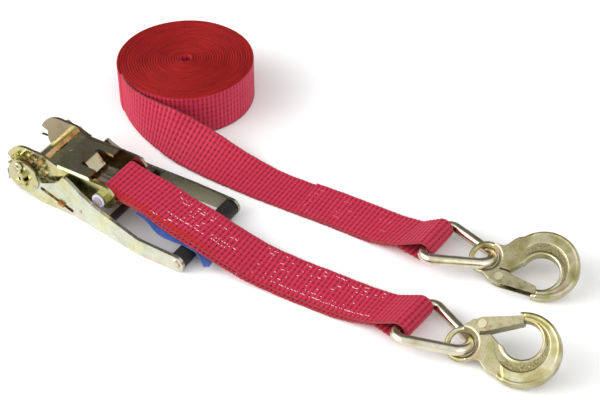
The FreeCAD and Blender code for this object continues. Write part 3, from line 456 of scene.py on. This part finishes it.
METAL_NODES = {
    "zinc": ["handle_arm_near", "handle_arm_far", "grip_rod", "spring_anchor_near", "spring_anchor_far"],
    "frame": ["ratchet_frame"],
    "hub": ["mandrel_half_upper", "mandrel_half_lower", "ratchet_wheel_near", "ratchet_wheel_far",
            "mandrel_washer_near", "mandrel_washer_far", "split_pin_near", "split_pin_far",
            "spring_rivet", "lock_nut"],
    "brown": ["drive_pawl", "lock_pawl"],
    "ring": ["delta_ring_long", "delta_ring_short"],
    "latch": ["latch_long", "latch_short"],
    "forged": ["latch_rivet_long", "latch_rivet_short"],
    "wire": ["lock_spring", "latch_spring_long", "latch_spring_short"],
    "bolt": ["strap_bolt"],
    "bar": ["release_bar"],
    "nylon": ["nylon_ring"],
}
# how wide the softened edges of a node are, mm
SOFTENED = {"ratchet_frame": 0.5, "handle_arm_near": 0.5, "handle_arm_far": 0.5, "drive_pawl": 0.4,
            "lock_pawl": 0.4, "latch_long": 0.35, "latch_short": 0.35, "lock_nut": 0.5,
            "ratchet_wheel_near": 0.3, "ratchet_wheel_far": 0.3, "mandrel_half_upper": 0.5,
            "mandrel_half_lower": 0.5, "strap_bolt": 0.5}
SOFTEN_FROM = math.radians(55)  # edges sharper than this are softened
SMOOTH_TO = math.radians(34)  # faces that meet at less than this shade as one


def dress_cad():
    """CAD metal keeps its shape: it gets a material, softened edges and smooth curved faces."""
    for key, names in METAL_NODES.items():
        for name in names:
            item = NODES[name]
            item.data.materials.clear()
            item.data.materials.append(MATERIALS[key])
            for face in item.data.polygons:
                face.use_smooth = True
            if name in SOFTENED:
                bevel = item.modifiers.new("edge", "BEVEL")
                bevel.width = SOFTENED[name] * MM
                bevel.segments = 2
                bevel.limit_method = "ANGLE"
                bevel.angle_limit = SOFTEN_FROM
                bevel.use_clamp_overlap = True
            bpy.context.view_layer.objects.active = item
            item.select_set(True)
            bpy.ops.object.shade_auto_smooth(angle=SMOOTH_TO)
            item.select_set(False)


# ---------------------------------------------------------------- mesh making

def add_mesh(name, vertices, faces, material, body, uv=None, smooth=True, slots=None):
    """A piece from points in metres. uv is one pair per face corner; slots one material per face."""
    mesh = bpy.data.meshes.new(name)
    mesh.from_pydata([tuple(v) for v in vertices], [], [tuple(f) for f in faces])
    for key in ([material] if isinstance(material, str) else material):
        mesh.materials.append(MATERIALS[key])
    if uv is not None:
        layer = mesh.uv_layers.new(name="UVMap")
        layer.data.foreach_set("uv", np.asarray(uv, dtype=np.float32).ravel())
    if slots is not None:
        mesh.polygons.foreach_set("material_index", np.asarray(slots, dtype=np.int32))
    mesh.polygons.foreach_set("use_smooth", [smooth] * len(mesh.polygons))
    mesh.validate()
    mesh.update()
    item = bpy.data.objects.new(name, mesh)
    bpy.context.collection.objects.link(item)
    if body is not None:
        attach(item, body)
    return item


def ring_faces(rings, sides, base=0):
    """Faces between neighbouring rings of points, then a cap on the first ring and on the last."""
    faces = []
    for low in range(base, base + (rings - 1) * sides, sides):
        for q in range(sides):
            n = (q + 1) % sides
            faces.append((low + q, low + n, low + sides + n, low + sides + q))
    faces.append(tuple(base + q for q in range(sides))[::-1])
    faces.append(tuple(base + (rings - 1) * sides + q for q in range(sides)))
    return faces


def unit(v):
    """The same vector, or rows of vectors, with length 1."""
    v = np.asarray(v, float)
    return v / np.linalg.norm(v, axis=-1, keepdims=True)


def smooth_curve(points, count):
    """Catmull-Rom through control rows of any width, sampled at count places evenly by length."""
    p = np.asarray(points, float)
    padded = np.vstack([2 * p[0] - p[1], p, 2 * p[-1] - p[-2]])
    rows = []
    fine = 40  # places worked out between two control rows
    for i in range(len(p) - 1):
        a, b, c, d = padded[i:i + 4]
        t = np.linspace(0, 1, fine, endpoint=False)[:, None]
        rows.append(0.5 * (2 * b + (c - a) * t + (2 * a - 5 * b + 4 * c - d) * t ** 2
                           + (3 * b - a - 3 * c + d) * t ** 3))
    rows = np.vstack(rows + [p[-1:]])
    return resample(rows, count)


def reach_along(points):
    """How far along a polyline each of its points lies."""
    return np.concatenate([[0], np.cumsum(np.linalg.norm(np.diff(points, axis=0), axis=1))])


def resample(rows, count):
    """The same polyline, its first three columns being xyz, at count places evenly by length."""
    reach = reach_along(rows[:, :3])
    at = np.linspace(0, reach[-1], count)
    return np.stack([np.interp(at, reach, rows[:, k]) for k in range(rows.shape[1])], axis=1)


def web_profile(thick):
    """Closed outline of the webbing's section: (across, through, is_edge) with round edges."""
    side = WIDTH / 2 - EDGE
    flat = np.linspace(-side, side, 15)
    rows = []
    for way, angles in ((1, (60, 20, -20, -60)), (-1, (240, 200, 160, 120))):
        rows += [(u, way * thick / 2, 0) for u in flat[::way]]
        for a in np.radians(angles):
            rows.append((way * side + EDGE * math.cos(a), thick / 2 * math.sin(a), 1))
    return np.array(rows)


def web_piece(name, centre, across, normal, body, rib_depth=0.22, thick=THICK, edge_wave=0.25,
              face="web", edge="web_edge"):
    """Webbing along a line of sections, in layout mm, with woven ribs standing out of both faces."""
    profile = web_profile(thick)
    u, w, on_edge = profile.T
    around, count = len(profile), len(centre)
    reach = reach_along(centre)
    ribs = np.cos(2 * math.pi * reach / RIB)
    ribs = (np.sign(ribs) * np.abs(ribs) ** 0.8)[:, None]
    wave = edge_wave * (np.sin(reach / 3.1) + 0.6 * np.sin(reach / 7.3 + 1.0))[:, None]
    beside_edge = np.where(np.abs(u) > WIDTH / 2 - 2, np.sign(u), 0)
    shape_u = u + beside_edge * (0.12 * ribs) + wave * 0.5
    shape_w = w + np.where(on_edge > 0, 0.3, 1.0) * rib_depth * ribs * np.sign(w)
    verts = (centre[:, None, :] + across[:, None, :] * shape_u[..., None]
             + normal[:, None, :] * shape_w[..., None]).reshape(-1, 3)
    this = np.arange(around)
    following = (this + 1) % around
    start = np.arange(count - 1)[:, None] * around
    faces = np.stack([start + this, start + following, start + around + following, start + around + this],
                     axis=-1).reshape(-1, 4)
    corners = []
    for point, along in ((this, reach[:-1]), (following, reach[:-1]), (following, reach[1:]),
                         (this, reach[1:])):
        corners.append(np.stack(np.broadcast_arrays((u + WIDTH / 2)[point], along[:, None]), axis=-1))
    uv = np.stack(corners, axis=2).reshape(-1, 2)
    slots = np.tile(np.where((on_edge > 0) | (on_edge[following] > 0), 1, 0), count - 1)
    ends = [list(range(around))[::-1], list(range((count - 1) * around, count * around))]
    item = add_mesh(name, place(verts), [tuple(f) for f in faces] + ends, [face, edge], body,
                    np.vstack([uv, np.zeros((2 * around, 2))]), slots=np.concatenate([slots, [1, 1]]))
    return item, reach[-1]


ROUTE_SECTIONS = 300
LOOP_SECTIONS = 60
LYING = 2.5  # least height of the middle of two flat layers, mm
FLOOR_GAP = 0.3  # air left below that, mm


def route_frames(stations):
    """Centre, across, forward and normal along a route of (x, y, z, roll in degrees)."""
    rows = smooth_curve(stations, ROUTE_SECTIONS)
    centre = rows[:, :3]
    forward = unit(np.gradient(centre, axis=0))
    level = unit(np.cross([0, 0, 1], forward))
    upright = np.cross(forward, level)
    roll = np.radians(rows[:, 3])[:, None]
    across = level * np.cos(roll) + upright * np.sin(roll)
    normal = upright * np.cos(roll) - level * np.sin(roll)
    lowest = np.abs(across[:, 2]) * WIDTH / 2 + np.abs(normal[:, 2]) * LYING + FLOOR_GAP
    centre[:, 2] = np.maximum(centre[:, 2], lowest)
    return centre, across, forward, normal


def turn_round(frames, bar, bar_radius, end):
    """Sections of a loop round a bar past the last of the frames (end 1) or the first (end -1)."""
    centre, across, forward, normal = (rows[-1 if end > 0 else 0] for rows in frames)
    forward = unit(bar - centre) * end
    across = unit(across - forward * np.dot(across, forward))
    normal = np.cross(forward, across)
    heading = forward * end
    lead = np.linalg.norm(bar - centre)
    radius = bar_radius + THICK / 2
    first = math.atan2(HALF_LAYERS, -lead) - math.acos(radius / math.hypot(lead, HALF_LAYERS))
    rows = []
    for share in np.linspace(0, 1, LOOP_SECTIONS):
        angle = first * (1 - 2 * share)
        outward = heading * math.cos(angle) + normal * math.sin(angle)
        rows.append((bar + outward * radius, across, outward))
    return tuple(np.array([row[k] for row in rows]) for k in range(3))


def join_sections(pieces, count):
    """Runs of (centre, across, normal) arrays joined and resampled evenly."""
    rows = np.vstack([np.hstack([c, a, n]) for c, a, n in pieces])
    rows = resample(rows, count)
    return rows[:, :3], unit(rows[:, 3:6]), unit(rows[:, 6:9])


SHORT_ROUTE = [(112.0, 0.0, 34.6, 0.0), (136.0, -1.0, 32.2, 0.0), (166.0, -3.0, 26.6, 0.0),
               (194.0, -5.0, 22.7, 0.0), (206.0, -6.0, 21.0, 0.0), (232.0, -6.0, 14.0, 0.0),
               (262.0, -5.0, 7.0, 0.0), (296.0, -3.0, 3.4, 0.0), (340.0, -1.5, 2.9, 0.0),
               (374.0, -1.0, 4.6, -3.0), (398.0, -1.1, 9.6, -7.0)]
LONG_ROUTE = [(-1.0, 129.5, 25.3, 90.0), (20.0, 115.6, 25.3, 88.0), (46.0, 105.6, 25.3, 80.0),
              (80.0, 100.6, 24.1, 62.0), (108.0, 102.0, 17.6, 39.0), (136.0, 102.6, 11.2, 22.0),
              (164.0, 102.8, 6.8, 10.0), (204.0, 102.8, 3.0, 1.0), (242.0, 103.4, 2.9, 0.0),
              (290.0, 104.6, 2.9, 0.0), (328.0, 104.2, 3.2, 0.0), (349.0, 102.8, 6.2, -3.0),
              (369.5, 101.4, 11.6, -7.0)]
BOLT = np.array([93.5, 0.0, AXLE + 6.5])
SHORT_BAR = np.array([423.5, -2.0, 13.6])
LONG_BAR = np.array([393.5, 101.8, 15.8])
BOLT_LOOP = 5.4  # inner radius of the loop round the bolt, mm
LOOP = 5.3 + 2.9  # inner radius of the loop round a ring: the wire's radius and the slack
SHORT_SEAM = 250.0  # where the two ends of the short strap's webbing meet underneath
LONG_FOLD = 248.0  # where the part of the long strap sewn back from the ring ends
# rows of sewing: (place across the strap, from x, to x, share of the stitches left out)
SHORT_STITCHES = [(-17.0, 262, 392, 0.10), (-11.5, 268, 372, 0.72), (-5.0, 262, 384, 0.75),
                  (2.0, 268, 380, 0.75), (9.0, 262, 376, 0.75), (14.5, 266, 388, 0.7),
                  (19.5, 258, 396, 0.45), (-18.5, 143, 166, 0.35), (-15.0, 152, 176, 0.7),
                  (-8.0, 160, 232, 0.35), (-3.5, 172, 238, 0.55), (2.5, 168, 226, 0.72),
                  (7.5, 176, 232, 0.7), (12.0, 164, 216, 0.3), (15.5, 158, 206, 0.6),
                  (21.0, 149, 160, 0.35)]
LONG_STITCHES = [(16, 251, 262, 0.2), (9, 251, 258, 0.3), (3, 251, 256, 0.2), (-4, 252, 260, 0.4),
                 (-11, 251, 256, 0.2), (-18, 252, 262, 0.5), (13, 286, 296, 0.4), (2, 290, 300, 0.35),
                 (-5, 286, 296, 0.3), (-12, 288, 298, 0.35), (8, 330, 342, 0.5), (-8, 332, 344, 0.5)]
# a stitch's shape: (place along its half length, share of its full thickness)
STITCH = ((-1, 0.3), (-0.7, 0.85), (0, 1.0), (0.7, 0.85), (1, 0.3))
STITCH_SIDES = 6


def ease(x, low, high):
    """0 below low, 1 above high, smooth between."""
    t = np.clip((np.asarray(x, float) - low) / (high - low), 0, 1)
    return t * t * (3 - 2 * t)


def stitches(name, frames, rows, material, body):
    """Sewing thread on the top face: rows of (place across, from x, to x, share left out)."""
    centre, across, forward, normal = frames
    verts, faces = [], []
    for offset, first, last, gaps in rows:
        x = first
        while x < last:
            k = int(np.argmin(np.abs(centre[:, 0] - x)))
            x += random.uniform(2.2, 4.4)
            if random.random() < gaps:
                continue
            length = random.choice((0.55, 0.8, 1.1, 1.9))
            turn = random.uniform(-0.35, 0.35)
            f = forward[k] * math.cos(turn) + across[k] * math.sin(turn)
            side = np.cross(normal[k], f)
            middle = (centre[k] + normal[k] * (HALF_LAYERS + THICK / 2 + 0.12)
                      + across[k] * (offset + random.uniform(-0.5, 0.5)))
            faces += ring_faces(len(STITCH), STITCH_SIDES, base=len(verts))
            for share, fat in STITCH:
                for q in range(STITCH_SIDES):
                    a = 2 * math.pi * q / STITCH_SIDES
                    out = math.sin(a) * 0.26 - 0.18 * share ** 2
                    verts.append(middle + f * (share * length)
                                 + (side * math.cos(a) * 0.42 + normal[k] * out) * fat)
    item = add_mesh(name, place(verts), faces, material, body)
    return item


def make_short_strap():
    """Doubled webbing with a loop round the bolt and one round the ring."""
    frames = route_frames(SHORT_ROUTE)
    centre, across, _, normal = frames
    upper = (centre + normal * HALF_LAYERS, across, normal)
    ring = turn_round(frames, SHORT_BAR, LOOP, 1)
    bolt = [rows[::-1] for rows in turn_round(frames, BOLT, BOLT_LOOP, -1)]
    slip = 2.6 * ease(centre[:, 0], 130, 190) * (1 - ease(centre[:, 0], 352, 396))
    under = (centre - normal * HALF_LAYERS - across * slip[:, None], across, -normal)
    before = centre[:, 0] < SHORT_SEAM
    after = centre[:, 0] > SHORT_SEAM + 0.3
    first = [rows[before][::-1] for rows in under]
    last = [rows[after][::-1] for rows in under]
    sections = join_sections([first, bolt, upper, ring, last], 1500)
    item, length = web_piece("short_strap_webbing", *sections, "frame", face="web_banded")
    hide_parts("short_strap")
    sewn = stitches("short_strap_stitches", frames, SHORT_STITCHES, "stitch", "frame")


def make_long_strap():
    """One layer of webbing from the roll, round the ring and sewn back on itself."""
    frames = route_frames(LONG_ROUTE)
    centre, across, _, normal = frames
    main = (centre - normal * HALF_LAYERS, across, -normal)
    ring = [rows[::-1] for rows in turn_round(frames, LONG_BAR, LOOP, 1)]
    keep = centre[:, 0] > LONG_FOLD
    back = [rows[keep][::-1] for rows in (centre + normal * HALF_LAYERS, across, normal)]
    sections = join_sections([main, ring, back], 1250)
    item, length = web_piece("long_strap_webbing", *sections, "long_strap")
    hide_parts("long_strap_tail")
    sewn = stitches("long_strap_stitches", frames, LONG_STITCHES, "stitch_red", "long_strap")


LABEL_START, LABEL_END = 134.0, 226.0  # from where to where along the row the label reaches
LABEL_COLUMNS = 24
HALF_LABEL = 0.25  # half its thickness, mm
# (x, how far its free edge stands out) and (x, how far that edge hangs down)
BULGE = [(134, 0.0), (147, 0.5), (154, 2.0), (160, 3.8), (166, 4.8), (176, 5.0), (186, 3.4),
         (196, 0.6), (208, 0.4), (214, 2.5), (221.5, 5.0), (226, 2.5)]
DROOP = [(134, 0.3), (147, 0.6), (160, 1.6), (170, 2.2), (186, 1.2), (196, 0.5), (208, 0.8),
         (214, 4.0), (221.5, 8.2), (226, 6.0)]


def make_label():
    """The blue label sewn under the short strap: one edge bulges out and a corner droops."""
    centre, across, _, normal = route_frames(SHORT_ROUTE)
    keep = (centre[:, 0] > LABEL_START) & (centre[:, 0] < LABEL_END)
    centre, across, normal = centre[keep], across[keep], normal[keep]
    x = centre[:, 0]
    bulge = np.interp(x, *zip(*BULGE))
    droop = np.interp(x, *zip(*DROOP))
    verts = []
    for side in (HALF_LABEL, -HALF_LABEL):
        for k in range(len(centre)):
            for c in range(LABEL_COLUMNS + 1):
                share = c / LABEL_COLUMNS
                out = -6 - (21.5 + bulge[k]) * (1 - share)
                sag = droop[k] * (max(0, -out - 20) / 15) ** 1.5
                ripple = 0.25 * math.sin(x[k] / 5.0 + share * 3)
                lift = HALF_LAYERS + THICK / 2 + 0.75 + sag + ripple * (1 - share)
                verts.append(centre[k] + across[k] * out - normal[k] * (lift - side))
    verts = np.array(verts)
    verts[:, 2] = np.maximum(verts[:, 2], 0.6)
    m, n = LABEL_COLUMNS + 1, len(centre)
    half = n * m
    faces, uv = [], []
    for k in range(n - 1):
        for c in range(LABEL_COLUMNS):
            a = k * m + c
            faces.append((a, a + m, a + m + 1, a + 1))
            faces.append((half + a, half + a + 1, half + a + m + 1, half + a + m))
            u0, u1, v0, v1 = c * 1.2, (c + 1) * 1.2, x[k], x[k + 1]
            uv += [(u0, v0), (u0, v1), (u1, v1), (u1, v0), (u0, v0), (u1, v0), (u1, v1), (u0, v1)]
    rim = ([k * m for k in range(n)] + [(n - 1) * m + c for c in range(1, m)]
           + [k * m + m - 1 for k in range(n - 2, -1, -1)] + list(range(m - 2, 0, -1)))
    for a, b in zip(rim, rim[1:] + rim[:1]):
        faces.append((a, half + a, half + b, b))
        uv += [(0, 0), (0, 1), (1, 1), (1, 0)]
    item = add_mesh("short_strap_label", place(verts), faces, "label", "frame", np.array(uv))
    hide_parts("sewn_label")


ROLL = np.array([43.0, 190.9])
ROLL_RADIUS = 76.0
ROLL_CORE = 7.0
ROLL_TURNS = 24
STEPS_PER_TURN = 90


def make_roll():
    """The wound-up strap: one spiral of webbing standing on its edge, oval at its core."""
    pitch = (ROLL_RADIUS - ROLL_CORE) / ROLL_TURNS
    steps = ROLL_TURNS * STEPS_PER_TURN
    leaves_x, leaves_y = LONG_ROUTE[0][:2]
    angle_end = math.atan2(leaves_y - ROLL[1], leaves_x - ROLL[0])
    rows = []
    for k in range(steps + 1):
        turn = k / steps * ROLL_TURNS
        angle = angle_end - (ROLL_TURNS - turn) * 2 * math.pi
        radius = ROLL_CORE + pitch * turn - THICK / 2 - 0.2
        squeeze = 1 + 0.16 * max(0, 1 - turn / 5) * math.cos(2 * angle)
        height = WIDTH / 2 + 0.35 + 0.35 * math.sin(turn * 3.7) ** 2
        rows.append((ROLL[0] + radius * squeeze * math.cos(angle),
                     ROLL[1] + radius / squeeze * math.sin(angle), height))
    centre = np.array(rows)
    forward = unit(np.gradient(centre, axis=0))
    normal = unit(np.cross(forward, [0, 0, 1]))
    across = np.tile([0.0, 0.0, 1.0], (len(centre), 1))
    item, length = web_piece("strap_roll_webbing", centre, across, normal, "long_strap", rib_depth=0.0,
                             thick=pitch - 0.14, edge_wave=0.0, edge="roll_edge")
    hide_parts("strap_roll")


def tube(name, centre, radius, material, body, sides):
    """A round tube along a polyline in layout mm."""
    centre = np.asarray(centre, float)
    forward = unit(np.gradient(centre, axis=0))
    side = unit(np.cross(forward[0], [0.3, 0.2, 0.9]))
    verts = []
    for c, f in zip(centre, forward):
        side = unit(side - f * np.dot(side, f))
        other = np.cross(f, side)
        for q in range(sides):
            a = 2 * math.pi * q / sides
            verts.append(c + (side * math.cos(a) + other * math.sin(a)) * radius)
    return add_mesh(name, place(verts), ring_faces(len(centre), sides), material, body)


def lathe(name, axis_from, axis_to, rows, material, body, sides, flutes, flute_depth):
    """A turned piece: rows of (share of the axis, radius), with lengthwise flutes."""
    a = np.asarray(axis_from, float)
    b = np.asarray(axis_to, float)
    f = unit(b - a)
    side = unit(np.cross(f, [0.1, 0.2, 1.0]))
    other = np.cross(f, side)
    verts = []
    for share, radius in rows:
        for q in range(sides):
            t = 2 * math.pi * q / sides
            r = radius - flute_depth * (0.5 - 0.5 * math.cos(flutes * t)) ** 2
            verts.append(a + (b - a) * share + (side * math.cos(t) + other * math.sin(t)) * r)
    return add_mesh(name, place(verts), ring_faces(len(rows), sides), material, body)


def make_grip():
    """The ribbed plastic grip, as long as the sleeve that it replaces."""
    low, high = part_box("grip_sleeve")
    low, high = np.array(low) / MM + ORIGIN, np.array(high) / MM + ORIGIN
    x, _, z = (low + high) / 2
    lip, shoulder, full = 7.6, 8.5, 8.85  # radii from the end inwards
    rows = [(0.0, lip), (0.006, shoulder), (0.02, full), (0.5, full), (0.98, full), (0.994, shoulder),
            (1.0, lip)]
    item = lathe("grip_cover", (x, low[1], z), (x, high[1], z), rows, "grip", "handle", sides=192,
                 flutes=24, flute_depth=0.9)
    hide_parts("grip_sleeve")


# ---------------------------------------------------------------- hooks and springs

def turned(axis, degrees):
    """Rotation about a named axis."""
    return Matrix.Rotation(math.radians(degrees), 3, axis)


# the bar its ring hangs from, yaw, turn in the hook's own plane, tilt, and whether it lies on its
# other face
HOOKS = {"long": (LONG_BAR, 3.4, 3.0, 26.0, False), "short": (SHORT_BAR, -5.2, 26.5, 30.5, True)}
REACH = 61.8 - 5.6  # from that bar to the hook's eye: the ring's length less the eye's offset
# circles of the hook's outline, from its eye: (centre x, centre y, radius) in mm
MOUTH = (54.5, 2.5, 17.8)
BOWL = (54.0, 10.5, 34.5)
CRESCENT = (53.5, 7.0, 25.0)
VOXEL = 0.55 * MM
SOFTENING_ROUNDS = 5


def hook_frame(word):
    """The centre of a hook's eye, in layout mm, and the hook's rotation."""
    bar, yaw, turn, tilt, flipped = HOOKS[word]
    a = math.radians(yaw)
    eye = bar + np.array([REACH * math.cos(a), REACH * math.sin(a), 0])
    rotation = turned("Z", yaw) @ turned("X", tilt) @ turned("Z", turn - yaw)
    if flipped:
        rotation = rotation @ turned("X", 180)
    return eye, np.array(rotation)


def past_circle(x, y, circle):
    """How far points lie outside a circle of (centre x, centre y, radius)."""
    return np.hypot(x - circle[0], y - circle[1]) - circle[2]


def remeshed(source):
    """Vertices, faces and normals of a CAD node rebuilt as an even skin and softened."""
    copy = bpy.data.objects.new("work", source.data.copy())
    bpy.context.collection.objects.link(copy)
    skin = copy.modifiers.new("skin", "REMESH")
    skin.mode = "VOXEL"
    skin.voxel_size = VOXEL
    soft = copy.modifiers.new("soft", "SMOOTH")
    soft.factor = 0.5
    soft.iterations = SOFTENING_ROUNDS
    graph = bpy.context.evaluated_depsgraph_get()
    mesh = bpy.data.meshes.new_from_object(copy.evaluated_get(graph))
    verts = np.empty(len(mesh.vertices) * 3)
    mesh.vertices.foreach_get("co", verts)
    normals = np.empty(len(mesh.vertices) * 3)
    mesh.vertices.foreach_get("normal", normals)
    faces = [tuple(f.vertices) for f in mesh.polygons]
    bpy.data.objects.remove(copy)
    bpy.data.meshes.remove(mesh)
    return verts.reshape(-1, 3), faces, normals.reshape(-1, 3)


def make_hook(word):
    """The forged hook: the CAD shape with rounded edges, a bead round the mouth and a rough groove."""
    eye, rotation = hook_frame(word)
    verts, faces, normals = remeshed(NODES["hook_" + word])
    local = (verts / MM + ORIGIN - eye) @ rotation
    way = normals @ rotation
    x, y, z = local[:, 0], local[:, 1], local[:, 2]
    mouth = past_circle(x, y, MOUTH)
    from_outside = -past_circle(x, y, BOWL)
    angle = np.degrees(np.arctan2(y - MOUTH[1], x - MOUTH[0]))
    throat = ease(x, 34, 44) * np.where((angle > -100) | (angle < -170), 1, 0)
    bead = 0.75 * np.exp(-((mouth - 1.9) / 1.25) ** 2) * throat
    groove = ease(mouth, 3.0, 4.2) * ease(-past_circle(x, y, CRESCENT), -0.2, 0.8) * ease(x, 26, 40)
    face = ease(np.abs(way[:, 2]), 0.45, 0.8)
    rim = 0.35 * np.exp(-((from_outside - 2.2) / 1.1) ** 2)
    relief = (bead - 0.65 * groove * (from_outside > 3) + rim * (x > 30)) * face
    local[:, 2] = z + np.sign(z) * relief
    verts = (local @ rotation.T + eye - ORIGIN) * MM
    item = add_mesh("hook_forged_" + word, verts, faces, "hook", word + "_hook")
    grain = item.data.color_attributes.new("rough", "FLOAT_COLOR", "POINT")
    shank = 0.55 * (1 - ease(x, 26, 38)) * ease(np.hypot(x, y), 15.5, 17.5)
    level = np.maximum(groove, shank) * face
    grain.data.foreach_set("color", np.repeat(level[:, None], 4, axis=1).ravel())
    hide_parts("hook_" + word)


COIL_TURNS = 8
COIL_STEPS = 24  # steps in each of them
COIL_WIRE = 0.45  # radius of its wire, mm
COIL_INSET = 0.4  # how far inside the CAD spring's ends the wire's centreline stops, mm


def make_drive_spring(word):
    """Coil spring from the anchor pin to the pawl."""
    node = NODES["drive_spring_" + word]
    points = np.array([v.co for v in node.data.vertices]) / MM + ORIGIN
    middle = points.mean(axis=0)
    along, level = np.array([1.0, 0.0, 0.0]), np.array([0.0, 1.0, 0.0])
    upright = np.cross(along, level)
    reach = (points - middle) @ along
    low, high = reach.min() + COIL_INSET, reach.max() - COIL_INSET
    radius = np.linalg.norm(points - middle - reach[:, None] * along, axis=1).max() - COIL_WIRE
    route = []
    for k in range(COIL_TURNS * COIL_STEPS + 1):
        share = k / (COIL_TURNS * COIL_STEPS)
        a = 2 * math.pi * COIL_TURNS * share
        route.append(middle + along * (low + (high - low) * share)
                     + (upright * math.cos(a) + level * math.sin(a)) * radius)
    item = tube("drive_coil_" + word, route, COIL_WIRE, "wire", None, sides=8)
    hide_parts("drive_spring_" + word)
    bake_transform(item)


make_camera()
make_studio()
make_floor()
dress_cad()
make_short_strap()
make_label()
make_long_strap()
make_roll()
make_grip()
for word in HOOKS:
    make_hook(word)
for word in ("near", "far"):
    make_drive_spring(word)

bpy.context.view_layer.update()
